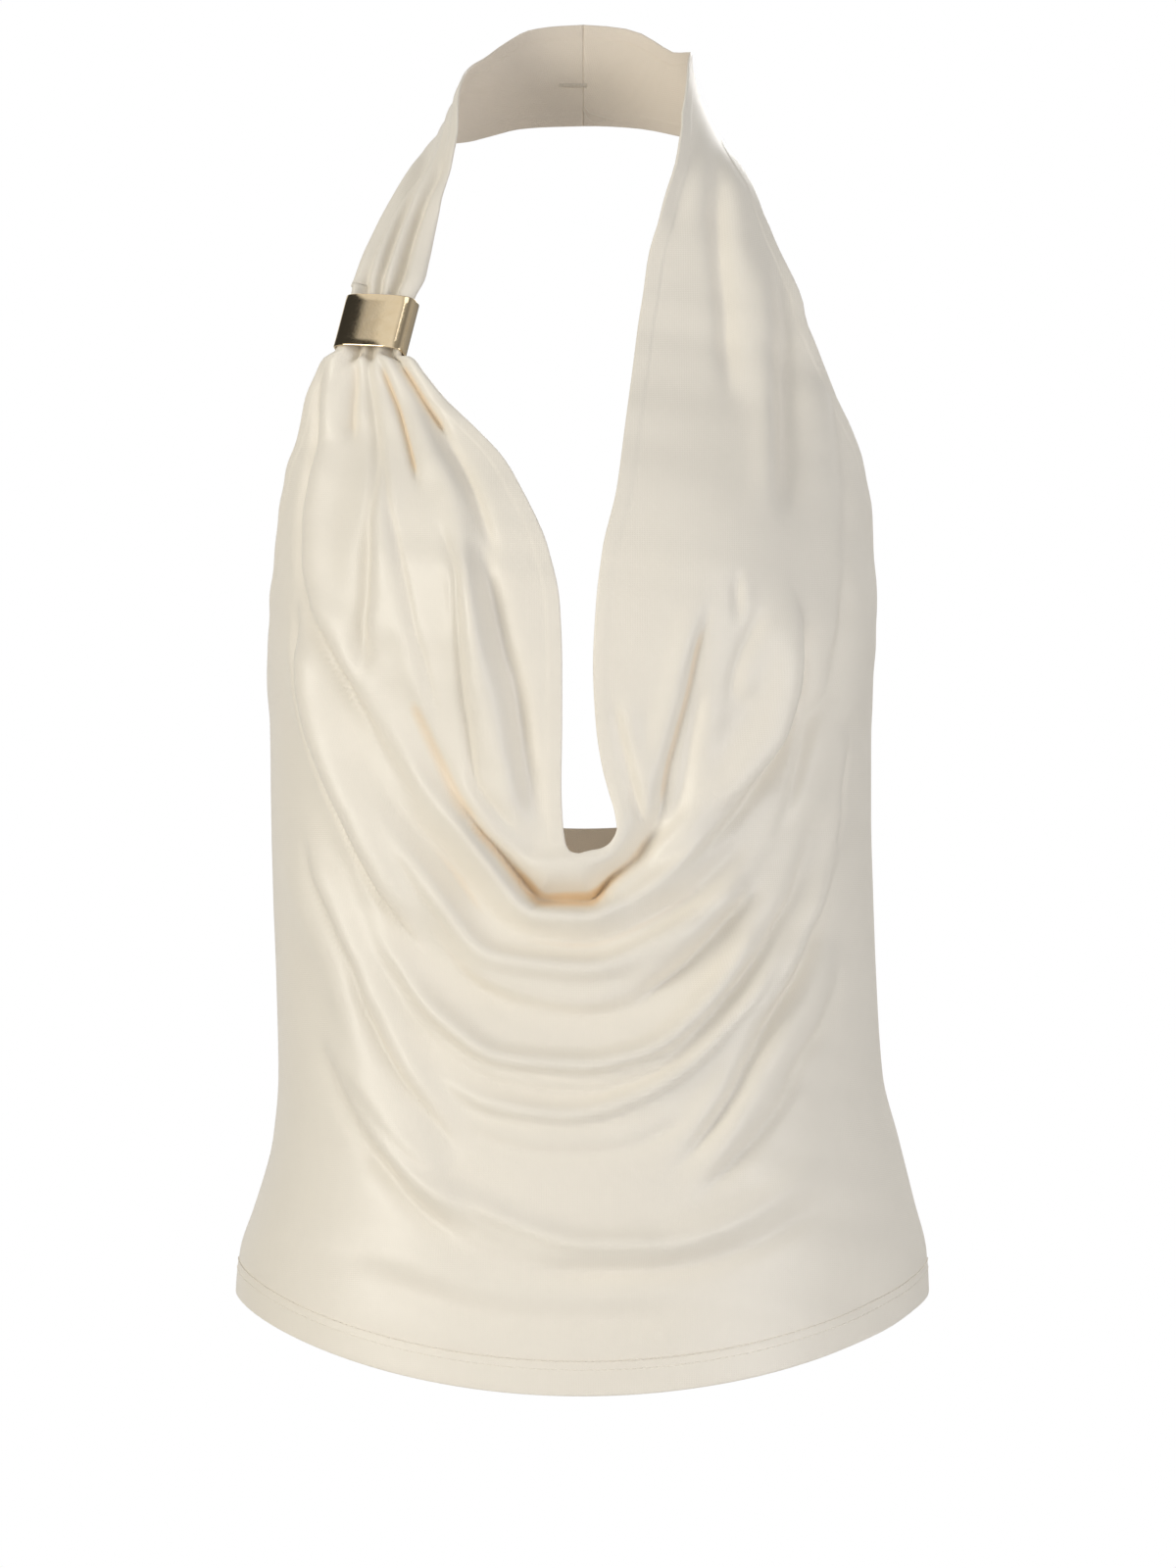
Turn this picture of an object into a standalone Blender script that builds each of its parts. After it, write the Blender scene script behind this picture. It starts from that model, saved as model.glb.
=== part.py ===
"""Halter neck top with a draped cowl front, in the hollow form it has when worn.

Metres, +Z up, the front faces -Y. The origin is at the nape, on the inner face of the neck band,
which is where the wearer's neck holds the top up.

The front is one length of cloth. It starts at the centre back of the neck, comes over the shoulder
as a narrow gathered strap, goes through a flattened metal ring, opens out over the chest, hangs
across the front in deep swags, and goes up again as a wide strap to the centre back of the neck.
Two sizes place a point on it: how far along that length it lies, counted in sections with the ring
at 0 to 1, and its share of the way across a section, from the neckline (0) to the outer edge (1).
The tables hold millimetres and degrees; the objects are made in metres.
"""
import math

import bmesh
import bpy
import numpy as np

MM = 0.001

# ---- cloth and seams (mm)
WALL = 1.2
SEAM_GAP = 0.4

# ---- flattened metal ring on the gathered strap (mm)
RING_WIDTH = 36.0
RING_DEPTH = 14.0
RING_HEIGHT = 27.0
RING_WALL = 1.0
RING_FIT = 0.35
RING_SQUARENESS = 3.5
RING_POINTS = 44
RING_EDGE = 0.3
RING_LIFT = 7.5

# ---- hems (mm)
HEM_SIDE = -588.0
FRONT_HEM_DROP = 38.5
FRONT_HEM_ROUNDNESS = 1.7
BACK_HEM_DROP = 5.0

# ---- back panel (mm): its top edge dips from the underarms to centre back
BACK_TOP_RING_SIDE = -318.0
BACK_TOP_PLAIN_SIDE = -330.0
BACK_TOP_CENTRE = -368.0
BACK_TOP_ROUNDNESS = 1.6
BACK_COLUMNS = 33
BACK_ROWS = 17

# ---- general figure under the cloth (mm)
BUST_SWELL = 9.0
BUST_OFFSET = 82.0
BUST_HEIGHT = -258.0
BUST_WIDTH_SPREAD = 46.0
BUST_HEIGHT_SPREAD = 52.0
SIDE_LINE = -60.0
SQUARENESS = 2.3

# Levels of the figure from the neck down:
# height, half width on the ring side, half width on the plain side, front, back.
FIGURE = (
    (45, 51, 49, -106, 0),
    (0, 54, 51, -110, 0),
    (-20, 62, 56, -112, 2),
    (-38, 71, 65, -114, 4),
    (-55, 85, 80, -117, 8),
    (-75, 104, 98, -120, 12),
    (-100, 124, 121, -126, 16),
    (-125, 140, 136, -135, 20),
    (-155, 147, 138, -149, 23),
    (-185, 149, 138.5, -166, 25),
    (-220, 150, 139, -184, 26),
    (-255, 150, 139, -193, 26),
    (-290, 150, 138, -195, 24),
    (-320, 148.5, 136.5, -191, 19),
    (-360, 148, 136.5, -187, 12),
    (-400, 147, 137.5, -186, 6),
    (-440, 145.5, 139, -187, 4),
    (-485, 144.5, 142, -189, 8),
    (-515, 147, 149.5, -190, 14),
    (-545, 155, 157, -191, 22),
    (-570, 163, 163, -192, 30),
    (-600, 165, 164, -192, 35),
    (-640, 165, 164, -192, 38),
)

# Sections of the band and gathered strap, from centre back to the ring:
# neckline turn, neckline height, outer edge turn, outer edge height.
GATHERED_STRAP = (
    (-180, 24.4, -180, -25),
    (-165, 23.5, -166, -25.5),
    (-150, 21, -152, -27),
    (-135, 14, -139, -31),
    (-118, 5, -126, -35),
    (-101, -1, -113, -37),
    (-82, -10, -100, -38),
    (-67, -24, -86, -43),
    (-55, -40, -73, -54),
    (-45, -59, -64, -69),
    (-38, -80, -56, -91),
    (-33.5, -105, -51, -114),
)

# Sections of the cowl front, from the ring across the chest to the plain strap:
# neckline x, neckline height, outer edge turn, outer edge height (HEM where the hem gives it).
HEM = None
COWL = (
    (-73, -126, -50, -121),
    (-78, -148, -50.5, -144.5),
    (-74.5, -156, -54, -154),
    (-64.5, -169, -59, -168),
    (-49, -183, -63, -182),
    (-36, -197, -67, -195),
    (-28, -211, -70, -209),
    (-16, -238, -74, -236),
    (-10.5, -265, -79, -263),
    (-9.5, -292, -83, -291),
    (-9.5, -319, -90, -318),
    (-9.9, -346, -90, -385),
    (-9, -366, -90, -455),
    (-7.5, -374.5, -90, -520),
    (-5, -377.5, -90, -568),
    (-2, -378, -90, HEM),
    (1, -377.3, -50, HEM),
    (4, -376.5, -18, HEM),
    (7, -376, 14, HEM),
    (10, -374.8, 46, HEM),
    (13.3, -371.5, 90, HEM),
    (15.3, -366, 90, -566),
    (14.4, -359, 90, -512),
    (11.5, -349, 90, -452),
    (8.5, -337, 90, -390),
    (5.9, -319, 90, -330),
    (4.6, -292, 80, -291),
    (5.9, -265, 80, -263),
    (9.1, -238, 79, -236),
    (15.4, -211, 75, -209),
    (19.1, -183, 66, -181.5),
    (22.8, -155, 56, -153.5),
    (26.6, -126, 50, -125.5),
    (30.8, -97.6, 52, -97),
    (35, -83, 56, -82),
    (38.5, -69, 62, -67),
)

# Sections of the plain strap, from the collar bone round the neck to centre back:
# neckline turn, neckline height, outer edge turn, outer edge height.
PLAIN_STRAP = (
    (33, -54, 69, -52),
    (44, -38, 84, -40),
    (60, -18, 99, -37),
    (82, 2, 112, -35),
    (103, 6, 126, -33),
    (121, 8, 138, -30),
    (137, 15, 151, -27),
    (151, 21, 164, -25.5),
    (166, 23.5, 173, -25),
    (180, 24.4, 180, -25),
)

# The folds as they are seen from in front. Each is drawn along its crest or its foot. Its row has the
# fold's height above the figure (a trough is negative), its width to the left and to the right of the
# way it is drawn, and the x and height of the line's points.
FOLDS = {
    "cowl lip": (5, 6, 9, (
        (-58, -325), (-50, -350), (-36, -372), (-22, -383), (0, -382), (13, -378), (18, -362),
        (14, -335))),
    "deep fold": (-12, 11, 4, (
        (-59, -351), (-49, -365), (-38, -379), (-29, -391), (-19, -400), (2, -400), (13, -390),
        (27, -378), (36, -363), (45, -340), (51, -312))),
    "second lip": (8, 4, 12, (
        (-94, -302), (-77, -337), (-54, -366), (-40, -384), (-22, -404), (0, -407), (15, -403),
        (33, -391), (61, -367), (84, -338), (94, -310))),
    "hollow under second lip": (-3, 9, 7, (
        (-92, -340), (-77, -362), (-60, -385), (-42, -405), (-20, -416), (0, -418), (20, -412),
        (45, -398), (66, -378), (84, -352), (98, -325))),
    "upper swag": (5, 4, 9, (
        (-112, -320), (-98, -348), (-80, -375), (-65, -395), (-50, -418), (-40, -425), (2, -430),
        (32, -419), (62, -397), (88, -369))),
    "hollow under upper swag": (-4, 5, 9, (
        (-90, -385), (-72, -412), (-50, -440), (-25, -452), (0, -455), (20, -450), (38, -438),
        (55, -422), (72, -404), (86, -385))),
    "middle swag": (4, 5, 5, (
        (-108, -385), (-84, -429), (-68, -450), (-52, -463), (-38, -472), (2, -475), (32, -468),
        (48, -455), (62, -437), (76, -411), (100, -368))),
    "lower swag": (3, 5, 6, (
        (-75, -468), (-58, -484), (-40, -492), (-8, -498), (24, -491), (42, -481), (58, -467),
        (74, -447), (90, -420), (101, -395))),
    "outer roll": (4, 9, 8, (
        (-127, -262), (-126, -290), (-120, -320), (-108, -350), (-94, -378), (-80, -400),
        (-66, -420))),
    "flank roll": (4, 7, 7, (
        (-131, -350), (-123, -378), (-113, -402), (-100, -430), (-76, -478), (-62, -498),
        (-48, -512))),
    "long swag": (4, 8, 5, (
        (-118, -455), (-106, -485), (-92, -508), (-76, -526), (-56, -539), (-26, -553), (4, -559),
        (30, -560), (56, -552), (80, -541), (104, -525), (118, -508))),
    "hollow under long swag": (-3, 5, 8, (
        (-122, -470), (-108, -498), (-90, -524), (-68, -547), (-40, -565), (0, -570), (32, -569),
        (60, -563), (86, -552), (112, -537), (126, -526))),
    "hem hollow": (-2, 9, 9, (
        (-118, -562), (-96, -572), (-64, -584), (-20, -591), (20, -591), (56, -584))),
    "plain flank roll, upper": (5, 5, 6, (
        (66, -466), (82, -444), (94, -425), (103, -406), (111, -384), (120, -345))),
    "plain flank trough, upper": (-3, 5, 5, (
        (36, -530), (49, -516), (68, -491), (77, -473), (86, -455), (96, -440), (113, -392))),
    "plain flank roll, lower": (4, 5, 6, (
        (50, -522), (64, -507), (75, -488), (86, -470), (98, -450), (108, -428), (116, -400))),
    "plain flank trough, lower": (-3, 5, 5, (
        (50, -541), (70, -519), (80, -508), (92, -492), (101, -474), (110, -459), (117, -442))),
    "bust fold": (6, 14, 4, (
        (55, -360), (73, -343), (86, -325), (94, -303), (96, -280), (90, -262))),
    "bust trough": (-5, 4, 8, (
        (40, -387), (57, -373), (78, -349), (89, -335), (96, -322), (101, -305), (103, -262))),
    "deep crease": (-4, 5, 5, (
        (31, -372), (36, -355), (41, -335), (47, -312), (52, -290), (58, -268))),
    "outer chest trough": (-3, 6, 6, (
        (-130, -250), (-122, -277), (-108, -303), (-94, -328), (-80, -348), (-66, -368))),
    "middle chest trough": (-2.5, 6, 6, ((-97, -222), (-101, -258), (-101, -285), (-97, -310))),
    "neckline chest trough": (-3, 6, 6, (
        (-70, -178), (-56, -203), (-46, -245), (-38, -280), (-31, -310), (-26, -340), (-18, -370))),
    "ridge by the neckline": (3, 8, 8, (
        (-62, -228), (-52, -255), (-47, -290), (-40, -320), (-30, -350), (-21, -372))),
    "shoulder trough": (-3, 7, 7, ((94, -228), (94, -175), (94, -120))),
    "strap trough": (-1.5, 7, 7, ((60, -50), (64, -90), (68, -130), (68, -180))),
}
LINE_POINTS = 40
FOLD_FADE = 0.25

# The narrowest fold that this coarse wall can carry without a jagged line.
LEAST_WIDTH = 8.5

# Turns between which the folds fade out on the way round to the sides.
FIRST_FADING_TURN = 74
LAST_FOLD_TURN = 88

# Pleats of the gathered strap: share by the collar, at the ring's top and at the ring's foot.
PLEATS = ((.34, .34, .14), (.58, .6, .45), (.8, .82, .68))
PLEAT_SHARE_SECTIONS = (-7, -0.2, 1)
PLEAT_DEPTH_SECTIONS = (-9, -5, -1.5, -0.2, 1.2, 2, 3.2, 4.5)
PLEAT_DEPTHS = (0, 1.2, 3, 7, 7, 3, 1, 0)
PLEAT_WIDTH = 3.4

# Soft drag folds of the back: height at centre back, depth, width, rise to the sides.
BACK_FOLDS = (
    (-418, -1.6, 9, 16),
    (-441, 1.4, 9, 10),
    (-462, -2, 10, 8),
    (-489, 1.2, 10, -4),
    (-522, -1, 13, -10),
)

# Sections where the wall is parted: at centre back, hidden in the ring, and at the collar.
CENTRE_BACK_START = -12
RING_SEAM = 0.5
COLLAR_SEAM = 39
CENTRE_BACK_END = 45

# Sections with a corner on the outer edge: underarm, hem, hem, underarm.
CORNERS = (10, 15, 20, 25)
CORNER_ROUNDING = 1.5

# Steps of the wall along the cloth: section and step length.
STEP_SECTIONS = (-12, -6, -1, 0.5, 2, 5, 9, 12, 15, 17.5, 20, 23, 26, 32, 37, 46)
STEPS = (14, 13, 10, 7, 7, 12, 16, 14, 14, 21, 14, 14, 17, 16, 12, 14)
STRAP_ROWS = 23
BAND_ROWS = 11

# Rows of the front's wall: on the cowl this power crowds them towards the neckline, where the folds
# are deepest. On the straps and in the ring they are even.
FRONT_ROWS = 36
ROW_POWER = 1.3


# ---- interpolation
def smooth(knots, values, at):
    """Monotone cubic through the values: it never swings past two neighbouring ones."""
    knots = np.asarray(knots, float)
    values = np.asarray(values, float)
    at = np.clip(np.asarray(at, float), knots[0], knots[-1])
    step = np.diff(knots)
    slope = np.diff(values) / step
    turning = slope[:-1] * slope[1:] <= 0
    before = np.where(turning, 1, slope[:-1])
    after = np.where(turning, 1, slope[1:])
    near = 2 * step[1:] + step[:-1]
    far = step[1:] + 2 * step[:-1]
    inner = np.where(turning, 0, (near + far) / (near / before + far / after))
    tangent = np.concatenate([slope[:1], inner, slope[-1:]])
    cell = np.clip(np.searchsorted(knots, at, side="right") - 1, 0, len(knots) - 2)
    u = (at - knots[cell]) / step[cell]
    rise = values[cell + 1] - values[cell]
    bend_in = tangent[cell] * step[cell] - rise
    bend_out = rise - tangent[cell + 1] * step[cell]
    return values[cell] + u * rise + u * (1 - u) * (bend_in * (1 - u) + bend_out * u)


def ease(value, low, high):
    """0 below low, 1 above high, with a soft change between."""
    u = np.clip((np.asarray(value, float) - low) / (high - low), 0, 1)
    return u * u * (3 - 2 * u)


def unit(vector):
    return vector / np.linalg.norm(vector, axis=-1, keepdims=True)


# ---- the figure
LEVELS = np.array(FIGURE, float)[::-1]
FIGURE_COLUMNS = {"ring side": 1, "plain side": 2, "front": 3, "back": 4}


def figure_size(name, height):
    return smooth(LEVELS[:, 0], LEVELS[:, FIGURE_COLUMNS[name]], height)


def half_width(x, height):
    return np.where(x < 0, figure_size("ring side", height), figure_size("plain side", height))


def figure_point(turn, height):
    """Point on the figure: turn 0 is centre front, -90 the ring side, 90 the plain side, 180 back."""
    turn = np.radians(turn)
    across = np.sin(turn)
    x = half_width(across, height) * across
    round_out = (1 - np.abs(across) ** SQUARENESS) ** (1 / SQUARENESS)
    forward = np.cos(turn) >= 0
    reach = np.where(forward, figure_size("front", height), figure_size("back", height)) - SIDE_LINE
    off_bust_x = (np.abs(x) - BUST_OFFSET) / BUST_WIDTH_SPREAD
    off_bust_z = (height - BUST_HEIGHT) / BUST_HEIGHT_SPREAD
    swell = BUST_SWELL * np.exp(-(off_bust_x ** 2 + off_bust_z ** 2) / 2)
    reach = reach - np.where(forward, swell, 0)
    y = SIDE_LINE + reach * round_out
    return np.stack(np.broadcast_arrays(x, y, height), axis=-1)


def figure_normal(turn, height):
    turn_step = 1.5
    height_step = 3.0
    round_it = figure_point(turn + turn_step, height) - figure_point(turn - turn_step, height)
    up_it = figure_point(turn, height + height_step) - figure_point(turn, height - height_step)
    return unit(np.cross(round_it, up_it))


def front_hem(turn):
    drop = FRONT_HEM_DROP * np.clip(np.cos(np.radians(turn)), 0, 1) ** FRONT_HEM_ROUNDNESS
    return HEM_SIDE - drop


# ---- sections of the front
def section_rows():
    rows = [list(row) for row in GATHERED_STRAP]
    for neck_x, neck_height, edge_turn, edge_height in COWL:
        neck_turn = math.degrees(math.asin(neck_x / float(half_width(neck_x, neck_height))))
        if edge_height is HEM:
            edge_height = float(front_hem(edge_turn))
        rows.append([neck_turn, neck_height, edge_turn, edge_height])
    rows.extend(list(row) for row in PLAIN_STRAP)
    return np.array(rows, float)


ROWS = section_rows()
SECTIONS = np.arange(len(ROWS)) - len(GATHERED_STRAP)
HEM_SECTIONS = [section for section, row in enumerate(COWL) if row[3] is HEM]


def outer_edge(section):
    turn = smooth(SECTIONS, ROWS[:, 2], section)
    height = smooth(SECTIONS, ROWS[:, 3], section)
    on_hem = (section >= HEM_SECTIONS[0]) & (section <= HEM_SECTIONS[-1])
    return turn, np.where(on_hem, front_hem(turn), height)


def across_section(section, share):
    """Turn and height at a share of the way across a section.

    The outer edge turns sharply where the side seam meets the hem. Inside the panel the cloth
    doesn't, so there the way across leads to a rounded corner, and to the real one near the edge.
    """
    neck_turn = smooth(SECTIONS, ROWS[:, 0], section)
    neck_height = smooth(SECTIONS, ROWS[:, 1], section)
    turn, height = outer_edge(section)
    from_corner = np.minimum(np.abs(section - HEM_SECTIONS[0]), np.abs(section - HEM_SECTIONS[-1]))
    reach = CORNER_ROUNDING * (1 - ease(from_corner, 1, 2.5))
    around = [outer_edge(section + reach * step) for step in np.linspace(-1, 1, 7)]
    round_turn = sum(each[0] for each in around) / len(around)
    round_height = sum(each[1] for each in around) / len(around)
    at_edge = ease(share, 0.5, 1)
    edge_turn = round_turn + (turn - round_turn) * at_edge
    edge_height = round_height + (height - round_height) * at_edge
    turn = neck_turn + (edge_turn - neck_turn) * share
    height = neck_height + (edge_height - neck_height) * share
    return turn, height


def section_lengths():
    """Length of every section, measured across the figure."""
    share = np.linspace(0, 1, 33)[None, :]
    points = figure_point(*across_section(SECTIONS[:, None].astype(float), share))
    return np.linalg.norm(np.diff(points, axis=1), axis=-1).sum(axis=1)


SECTION_LENGTHS = section_lengths()


def fold(off_centre, width_in, width_out):
    width = np.where(off_centre < 0, width_in, width_out)
    return np.exp(-(off_centre / width) ** 2)


def beside_line(path, x, height):
    """How far each place lies to the left of a drawn line, and the share of the line run there."""
    path = np.array(path, float)
    ran = np.insert(np.cumsum(np.linalg.norm(np.diff(path, axis=0), axis=1)), 0, 0)
    at = np.linspace(0, ran[-1], LINE_POINTS)
    line = np.stack([smooth(ran, path[:, 0], at), smooth(ran, path[:, 1], at)], axis=1)
    nearest = np.full(x.shape, np.inf)
    left = np.zeros(x.shape)
    share = np.zeros(x.shape)
    for step, (start, stop) in enumerate(zip(line[:-1], line[1:])):
        length = np.linalg.norm(stop - start)
        way_x, way_z = (stop - start) / length
        off_x, off_z = x - start[0], height - start[1]
        run = np.clip(off_x * way_x + off_z * way_z, 0, length)
        gap = np.hypot(off_x - run * way_x, off_z - run * way_z)
        nearer = gap < nearest
        nearest = np.where(nearer, gap, nearest)
        left = np.where(nearer, gap * np.sign(way_x * off_z - way_z * off_x), left)
        share = np.where(nearer, (step + run / length) / (LINE_POINTS - 1), share)
    return left, share


def relief(turn, height):
    """Height of the folds above the figure."""
    x = figure_point(turn, height)[..., 0]
    out = np.zeros(x.shape)
    for rise, width_left, width_right, path in FOLDS.values():
        left, share = beside_line(path, x, height)
        held = ease(share, 0, FOLD_FADE) * (1 - ease(share, 1 - FOLD_FADE, 1))
        out += rise * held * fold(-left, max(width_left, LEAST_WIDTH), max(width_right, LEAST_WIDTH))
    return out * (1 - ease(np.abs(turn), FIRST_FADING_TURN, LAST_FOLD_TURN))


def pleats(section, share, length):
    depth = smooth(PLEAT_DEPTH_SECTIONS, PLEAT_DEPTHS, section)
    out = np.zeros(np.shape(share))
    for shares in PLEATS:
        off_centre = (share - smooth(PLEAT_SHARE_SECTIONS, shares, section)) * length
        out -= depth * fold(off_centre, PLEAT_WIDTH, PLEAT_WIDTH)
    return out


# ---- the ring's frame: centre, along the strap, across it and out from the chest
def ring_frame():
    section = np.array([0, 1, 0.5, 0.5, 0.5])
    share = np.array([0.5, 0.5, 0.5, 0, 1])
    top, foot, middle, neck, edge = figure_point(*across_section(section, share))
    along = unit(foot - top)
    across = unit((edge - neck) - along * np.dot(edge - neck, along))
    out = unit(np.cross(across, along))
    if out[1] > 0:
        out = -out
    return middle + RING_LIFT * out, along, across, out


RING_CENTRE, RING_ALONG, RING_ACROSS, RING_OUT = ring_frame()
RUN_SECTIONS = (-1, 0, 1, 2)
RING_RUN = (-36, -RING_HEIGHT / 2, RING_HEIGHT / 2, 22)
RING_CLEAR = RING_WALL + RING_FIT + WALL / 2
BUNCH_WIDTH = RING_WIDTH - 2 * RING_CLEAR
BUNCH_RISE = RING_DEPTH / 2 - RING_CLEAR - 0.4


def bunch(share):
    """Rounded top of the gathered cloth that fills the ring."""
    side = np.abs(np.clip(2 * share - 1, -1, 1))
    return BUNCH_RISE * (1 - side ** RING_SQUARENESS) ** (1 / RING_SQUARENESS)


def inside_ring(section, share):
    """The gathered cloth where it goes through the ring."""
    run = smooth(RUN_SECTIONS, RING_RUN, section)[..., None]
    across = (share - 0.5)[..., None] * BUNCH_WIDTH
    out = (bunch(share) + pleats(section, share, BUNCH_WIDTH))[..., None]
    return RING_CENTRE + run * RING_ALONG + across * RING_ACROSS + out * RING_OUT


def front_surface(section, share):
    """Middle of the front's cloth, in mm."""
    section, share = np.broadcast_arrays(np.asarray(section, float), np.asarray(share, float))
    turn, height = across_section(section, share)
    out = relief(turn, height)
    length = np.interp(section, SECTIONS, SECTION_LENGTHS)
    from_ring = np.abs(section - 0.5)
    out = out + pleats(section, share, length)
    out = out + (RING_LIFT + bunch(share)) * (1 - ease(from_ring, 0.5, 4))
    normal = figure_normal(turn, height)
    loose = figure_point(turn, height) + normal * (WALL / 2 + out)[..., None]
    held = 1 - ease(from_ring, 0.5, 1.3)
    cloth = loose + (inside_ring(section, share) - loose) * held[..., None]
    return cloth + np.array([0, -SEAM_GAP / 2, 0])


def seam_side(section, side):
    """The section half a seam gap before (-1) or after (1) a seam."""
    step = 0.01 * side
    points = front_surface(np.array([section, section + step]), np.full(2, 0.5))
    return section + step * SEAM_GAP / 2 / np.linalg.norm(points[1] - points[0])


def steps_along(first, last):
    """Sections where the wall has its columns: at every corner, and at the table's steps between."""
    stops = [first] + [corner for corner in CORNERS if first < corner < last] + [last]
    columns = [first]
    for start, stop in zip(stops[:-1], stops[1:]):
        fine = np.linspace(start, stop, 200)
        points = figure_point(*across_section(fine, np.full(200, 0.55)))
        ran = np.linalg.norm(np.diff(points, axis=0), axis=1)
        step = np.interp((fine[1:] + fine[:-1]) / 2, STEP_SECTIONS, STEPS)
        count = np.concatenate([[0], np.cumsum(ran / step)])
        whole = max(1, round(count[-1]))
        columns.extend(np.interp(np.linspace(0, count[-1], whole + 1)[1:], count, fine))
    return np.array(columns)


# ---- objects
def material(name, hex_colour, roughness, metallic=0.0, sheen=0.0):
    made = bpy.data.materials.new(name)
    made.use_nodes = True
    shader = made.node_tree.nodes["Principled BSDF"]
    channels = [int(hex_colour[i:i + 2], 16) / 255 for i in (1, 3, 5)]
    linear = [((c + 0.055) / 1.055) ** 2.4 if c > 0.04045 else c / 12.92 for c in channels]
    shader.inputs["Base Color"].default_value = (*linear, 1.0)
    shader.inputs["Roughness"].default_value = roughness
    shader.inputs["Metallic"].default_value = metallic
    shader.inputs["Sheen Weight"].default_value = sheen
    return made


def add_object(name, vertices, faces, finish):
    mesh = bpy.data.meshes.new(name)
    mesh.from_pydata(vertices, [], faces)
    mesh.validate()
    mesh.shade_smooth()
    mesh.materials.append(finish)
    made = bpy.data.objects.new(name, mesh)
    bpy.context.collection.objects.link(made)
    return made


def cloth_wall(name, points, finish):
    """A wall of even thickness on a grid of points: first index along the cloth, second across."""
    along, across = points.shape[:2]
    vertices = [tuple(point) for point in points.reshape(-1, 3) * MM]
    faces = []
    for i in range(along - 1):
        for j in range(across - 1):
            corner = i * across + j
            faces.append((corner, corner + 1, corner + across + 1, corner + across))
    wall = add_object(name, vertices, faces, finish)
    solidify = wall.modifiers.new("wall", "SOLIDIFY")
    solidify.thickness = WALL * MM
    solidify.offset = 0
    return wall


def front_panel(finish):
    section = steps_along(seam_side(RING_SEAM, 1), seam_side(COLLAR_SEAM, -1))[:, None]
    crowding = (ROW_POWER - 1) * ease(section, 2, 9) * (1 - ease(section, 22, 26))
    share = np.linspace(0, 1, FRONT_ROWS)[None, :] ** (1 + crowding)
    return cloth_wall("front_panel", front_surface(section, share), finish)


def strap(name, first, last, rows, finish):
    section = steps_along(seam_side(first, 1), seam_side(last, -1))[:, None]
    share = np.linspace(0, 1, rows)[None, :]
    return cloth_wall(name, front_surface(section, share), finish)


def back_surface(turn, row):
    """Middle of the back panel's cloth: row 0 is its top edge and row 1 its hem."""
    towards_back = np.clip(-np.cos(np.radians(turn)), 0, 1)
    side_top = np.where(turn < 180, BACK_TOP_PLAIN_SIDE, BACK_TOP_RING_SIDE)
    top = side_top + (BACK_TOP_CENTRE - side_top) * towards_back ** BACK_TOP_ROUNDNESS
    hem = HEM_SIDE - BACK_HEM_DROP * towards_back ** 2
    height = top + (hem - top) * row
    out = np.zeros(height.shape)
    for at, depth, width, rise in BACK_FOLDS:
        off_centre = height - (at + rise * (1 - towards_back))
        out += depth * towards_back * np.exp(-(off_centre / width) ** 2)
    cloth = figure_point(turn, height) + figure_normal(turn, height) * (WALL / 2 + out)[..., None]
    return cloth + np.array([0, SEAM_GAP / 2, 0])


def back_panel(finish):
    turn = np.linspace(90, 270, BACK_COLUMNS)[:, None]
    row = np.linspace(0, 1, BACK_ROWS)[None, :]
    return cloth_wall("back_panel", back_surface(turn, row), finish)


def strap_ring(finish):
    """The flattened ring: one closed tube wall with softened rims."""
    half_high = RING_HEIGHT / 2
    loops = (
        (0, half_high - RING_EDGE),
        (0, RING_EDGE - half_high),
        (RING_EDGE, -half_high),
        (RING_WALL - RING_EDGE, -half_high),
        (RING_WALL, RING_EDGE - half_high),
        (RING_WALL, half_high - RING_EDGE),
        (RING_WALL - RING_EDGE, half_high),
        (RING_EDGE, half_high),
    )
    angle = np.linspace(0, 2 * math.pi, RING_POINTS, endpoint=False)
    power = 2 / RING_SQUARENESS
    across = np.sign(np.cos(angle)) * np.abs(np.cos(angle)) ** power
    deep = np.sign(np.sin(angle)) * np.abs(np.sin(angle)) ** power
    vertices = []
    for inset, run in loops:
        x = (RING_WIDTH / 2 - inset) * across[:, None] * RING_ACROSS
        y = (RING_DEPTH / 2 - inset) * deep[:, None] * RING_OUT
        vertices.extend((RING_CENTRE + run * RING_ALONG + x + y) * MM)
    faces = []
    for loop in range(len(loops)):
        after = (loop + 1) % len(loops)
        for i in range(RING_POINTS):
            j = (i + 1) % RING_POINTS
            corners = (loop, i), (loop, j), (after, j), (after, i)
            faces.append([at * RING_POINTS + point for at, point in corners])
    ring = add_object("strap_ring", [tuple(vertex) for vertex in vertices], faces, finish)
    shape = bmesh.new()
    shape.from_mesh(ring.data)
    bmesh.ops.recalc_face_normals(shape, faces=shape.faces)
    shape.to_mesh(ring.data)
    shape.free()
    return ring


def main():
    for old in list(bpy.data.objects):
        bpy.data.objects.remove(old, do_unlink=True)
    jersey = material("cloth", "#E6DFD0", 0.45, sheen=0.25)
    gold = material("ring", "#CFC09A", 0.16, metallic=1.0)
    front_panel(jersey)
    strap("ring_side_strap", CENTRE_BACK_START, RING_SEAM, STRAP_ROWS, jersey)
    strap("plain_side_strap", COLLAR_SEAM, CENTRE_BACK_END, BAND_ROWS, jersey)
    back_panel(jersey)
    strap_ring(gold)


main()
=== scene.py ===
# %% [markdown]
# # A halter neck top with a draped cowl front
# The top is sewn from one kind of cloth, a cream jersey with a satin face. One long piece of it starts
# at the nape, comes over the shoulder as a gathered strap, goes through a flattened metal ring, hangs
# across the front in deep swags and goes back up to the nape as a wide strap. A low back panel closes
# the tube. This lesson makes each piece in the shape it has when worn, then the sewing, the finishes
# and the studio.
#
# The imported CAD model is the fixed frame. Its solids are plain, so each cloth piece here stands for
# one or more of them, and is made from the same named sizes.

import math

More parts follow.
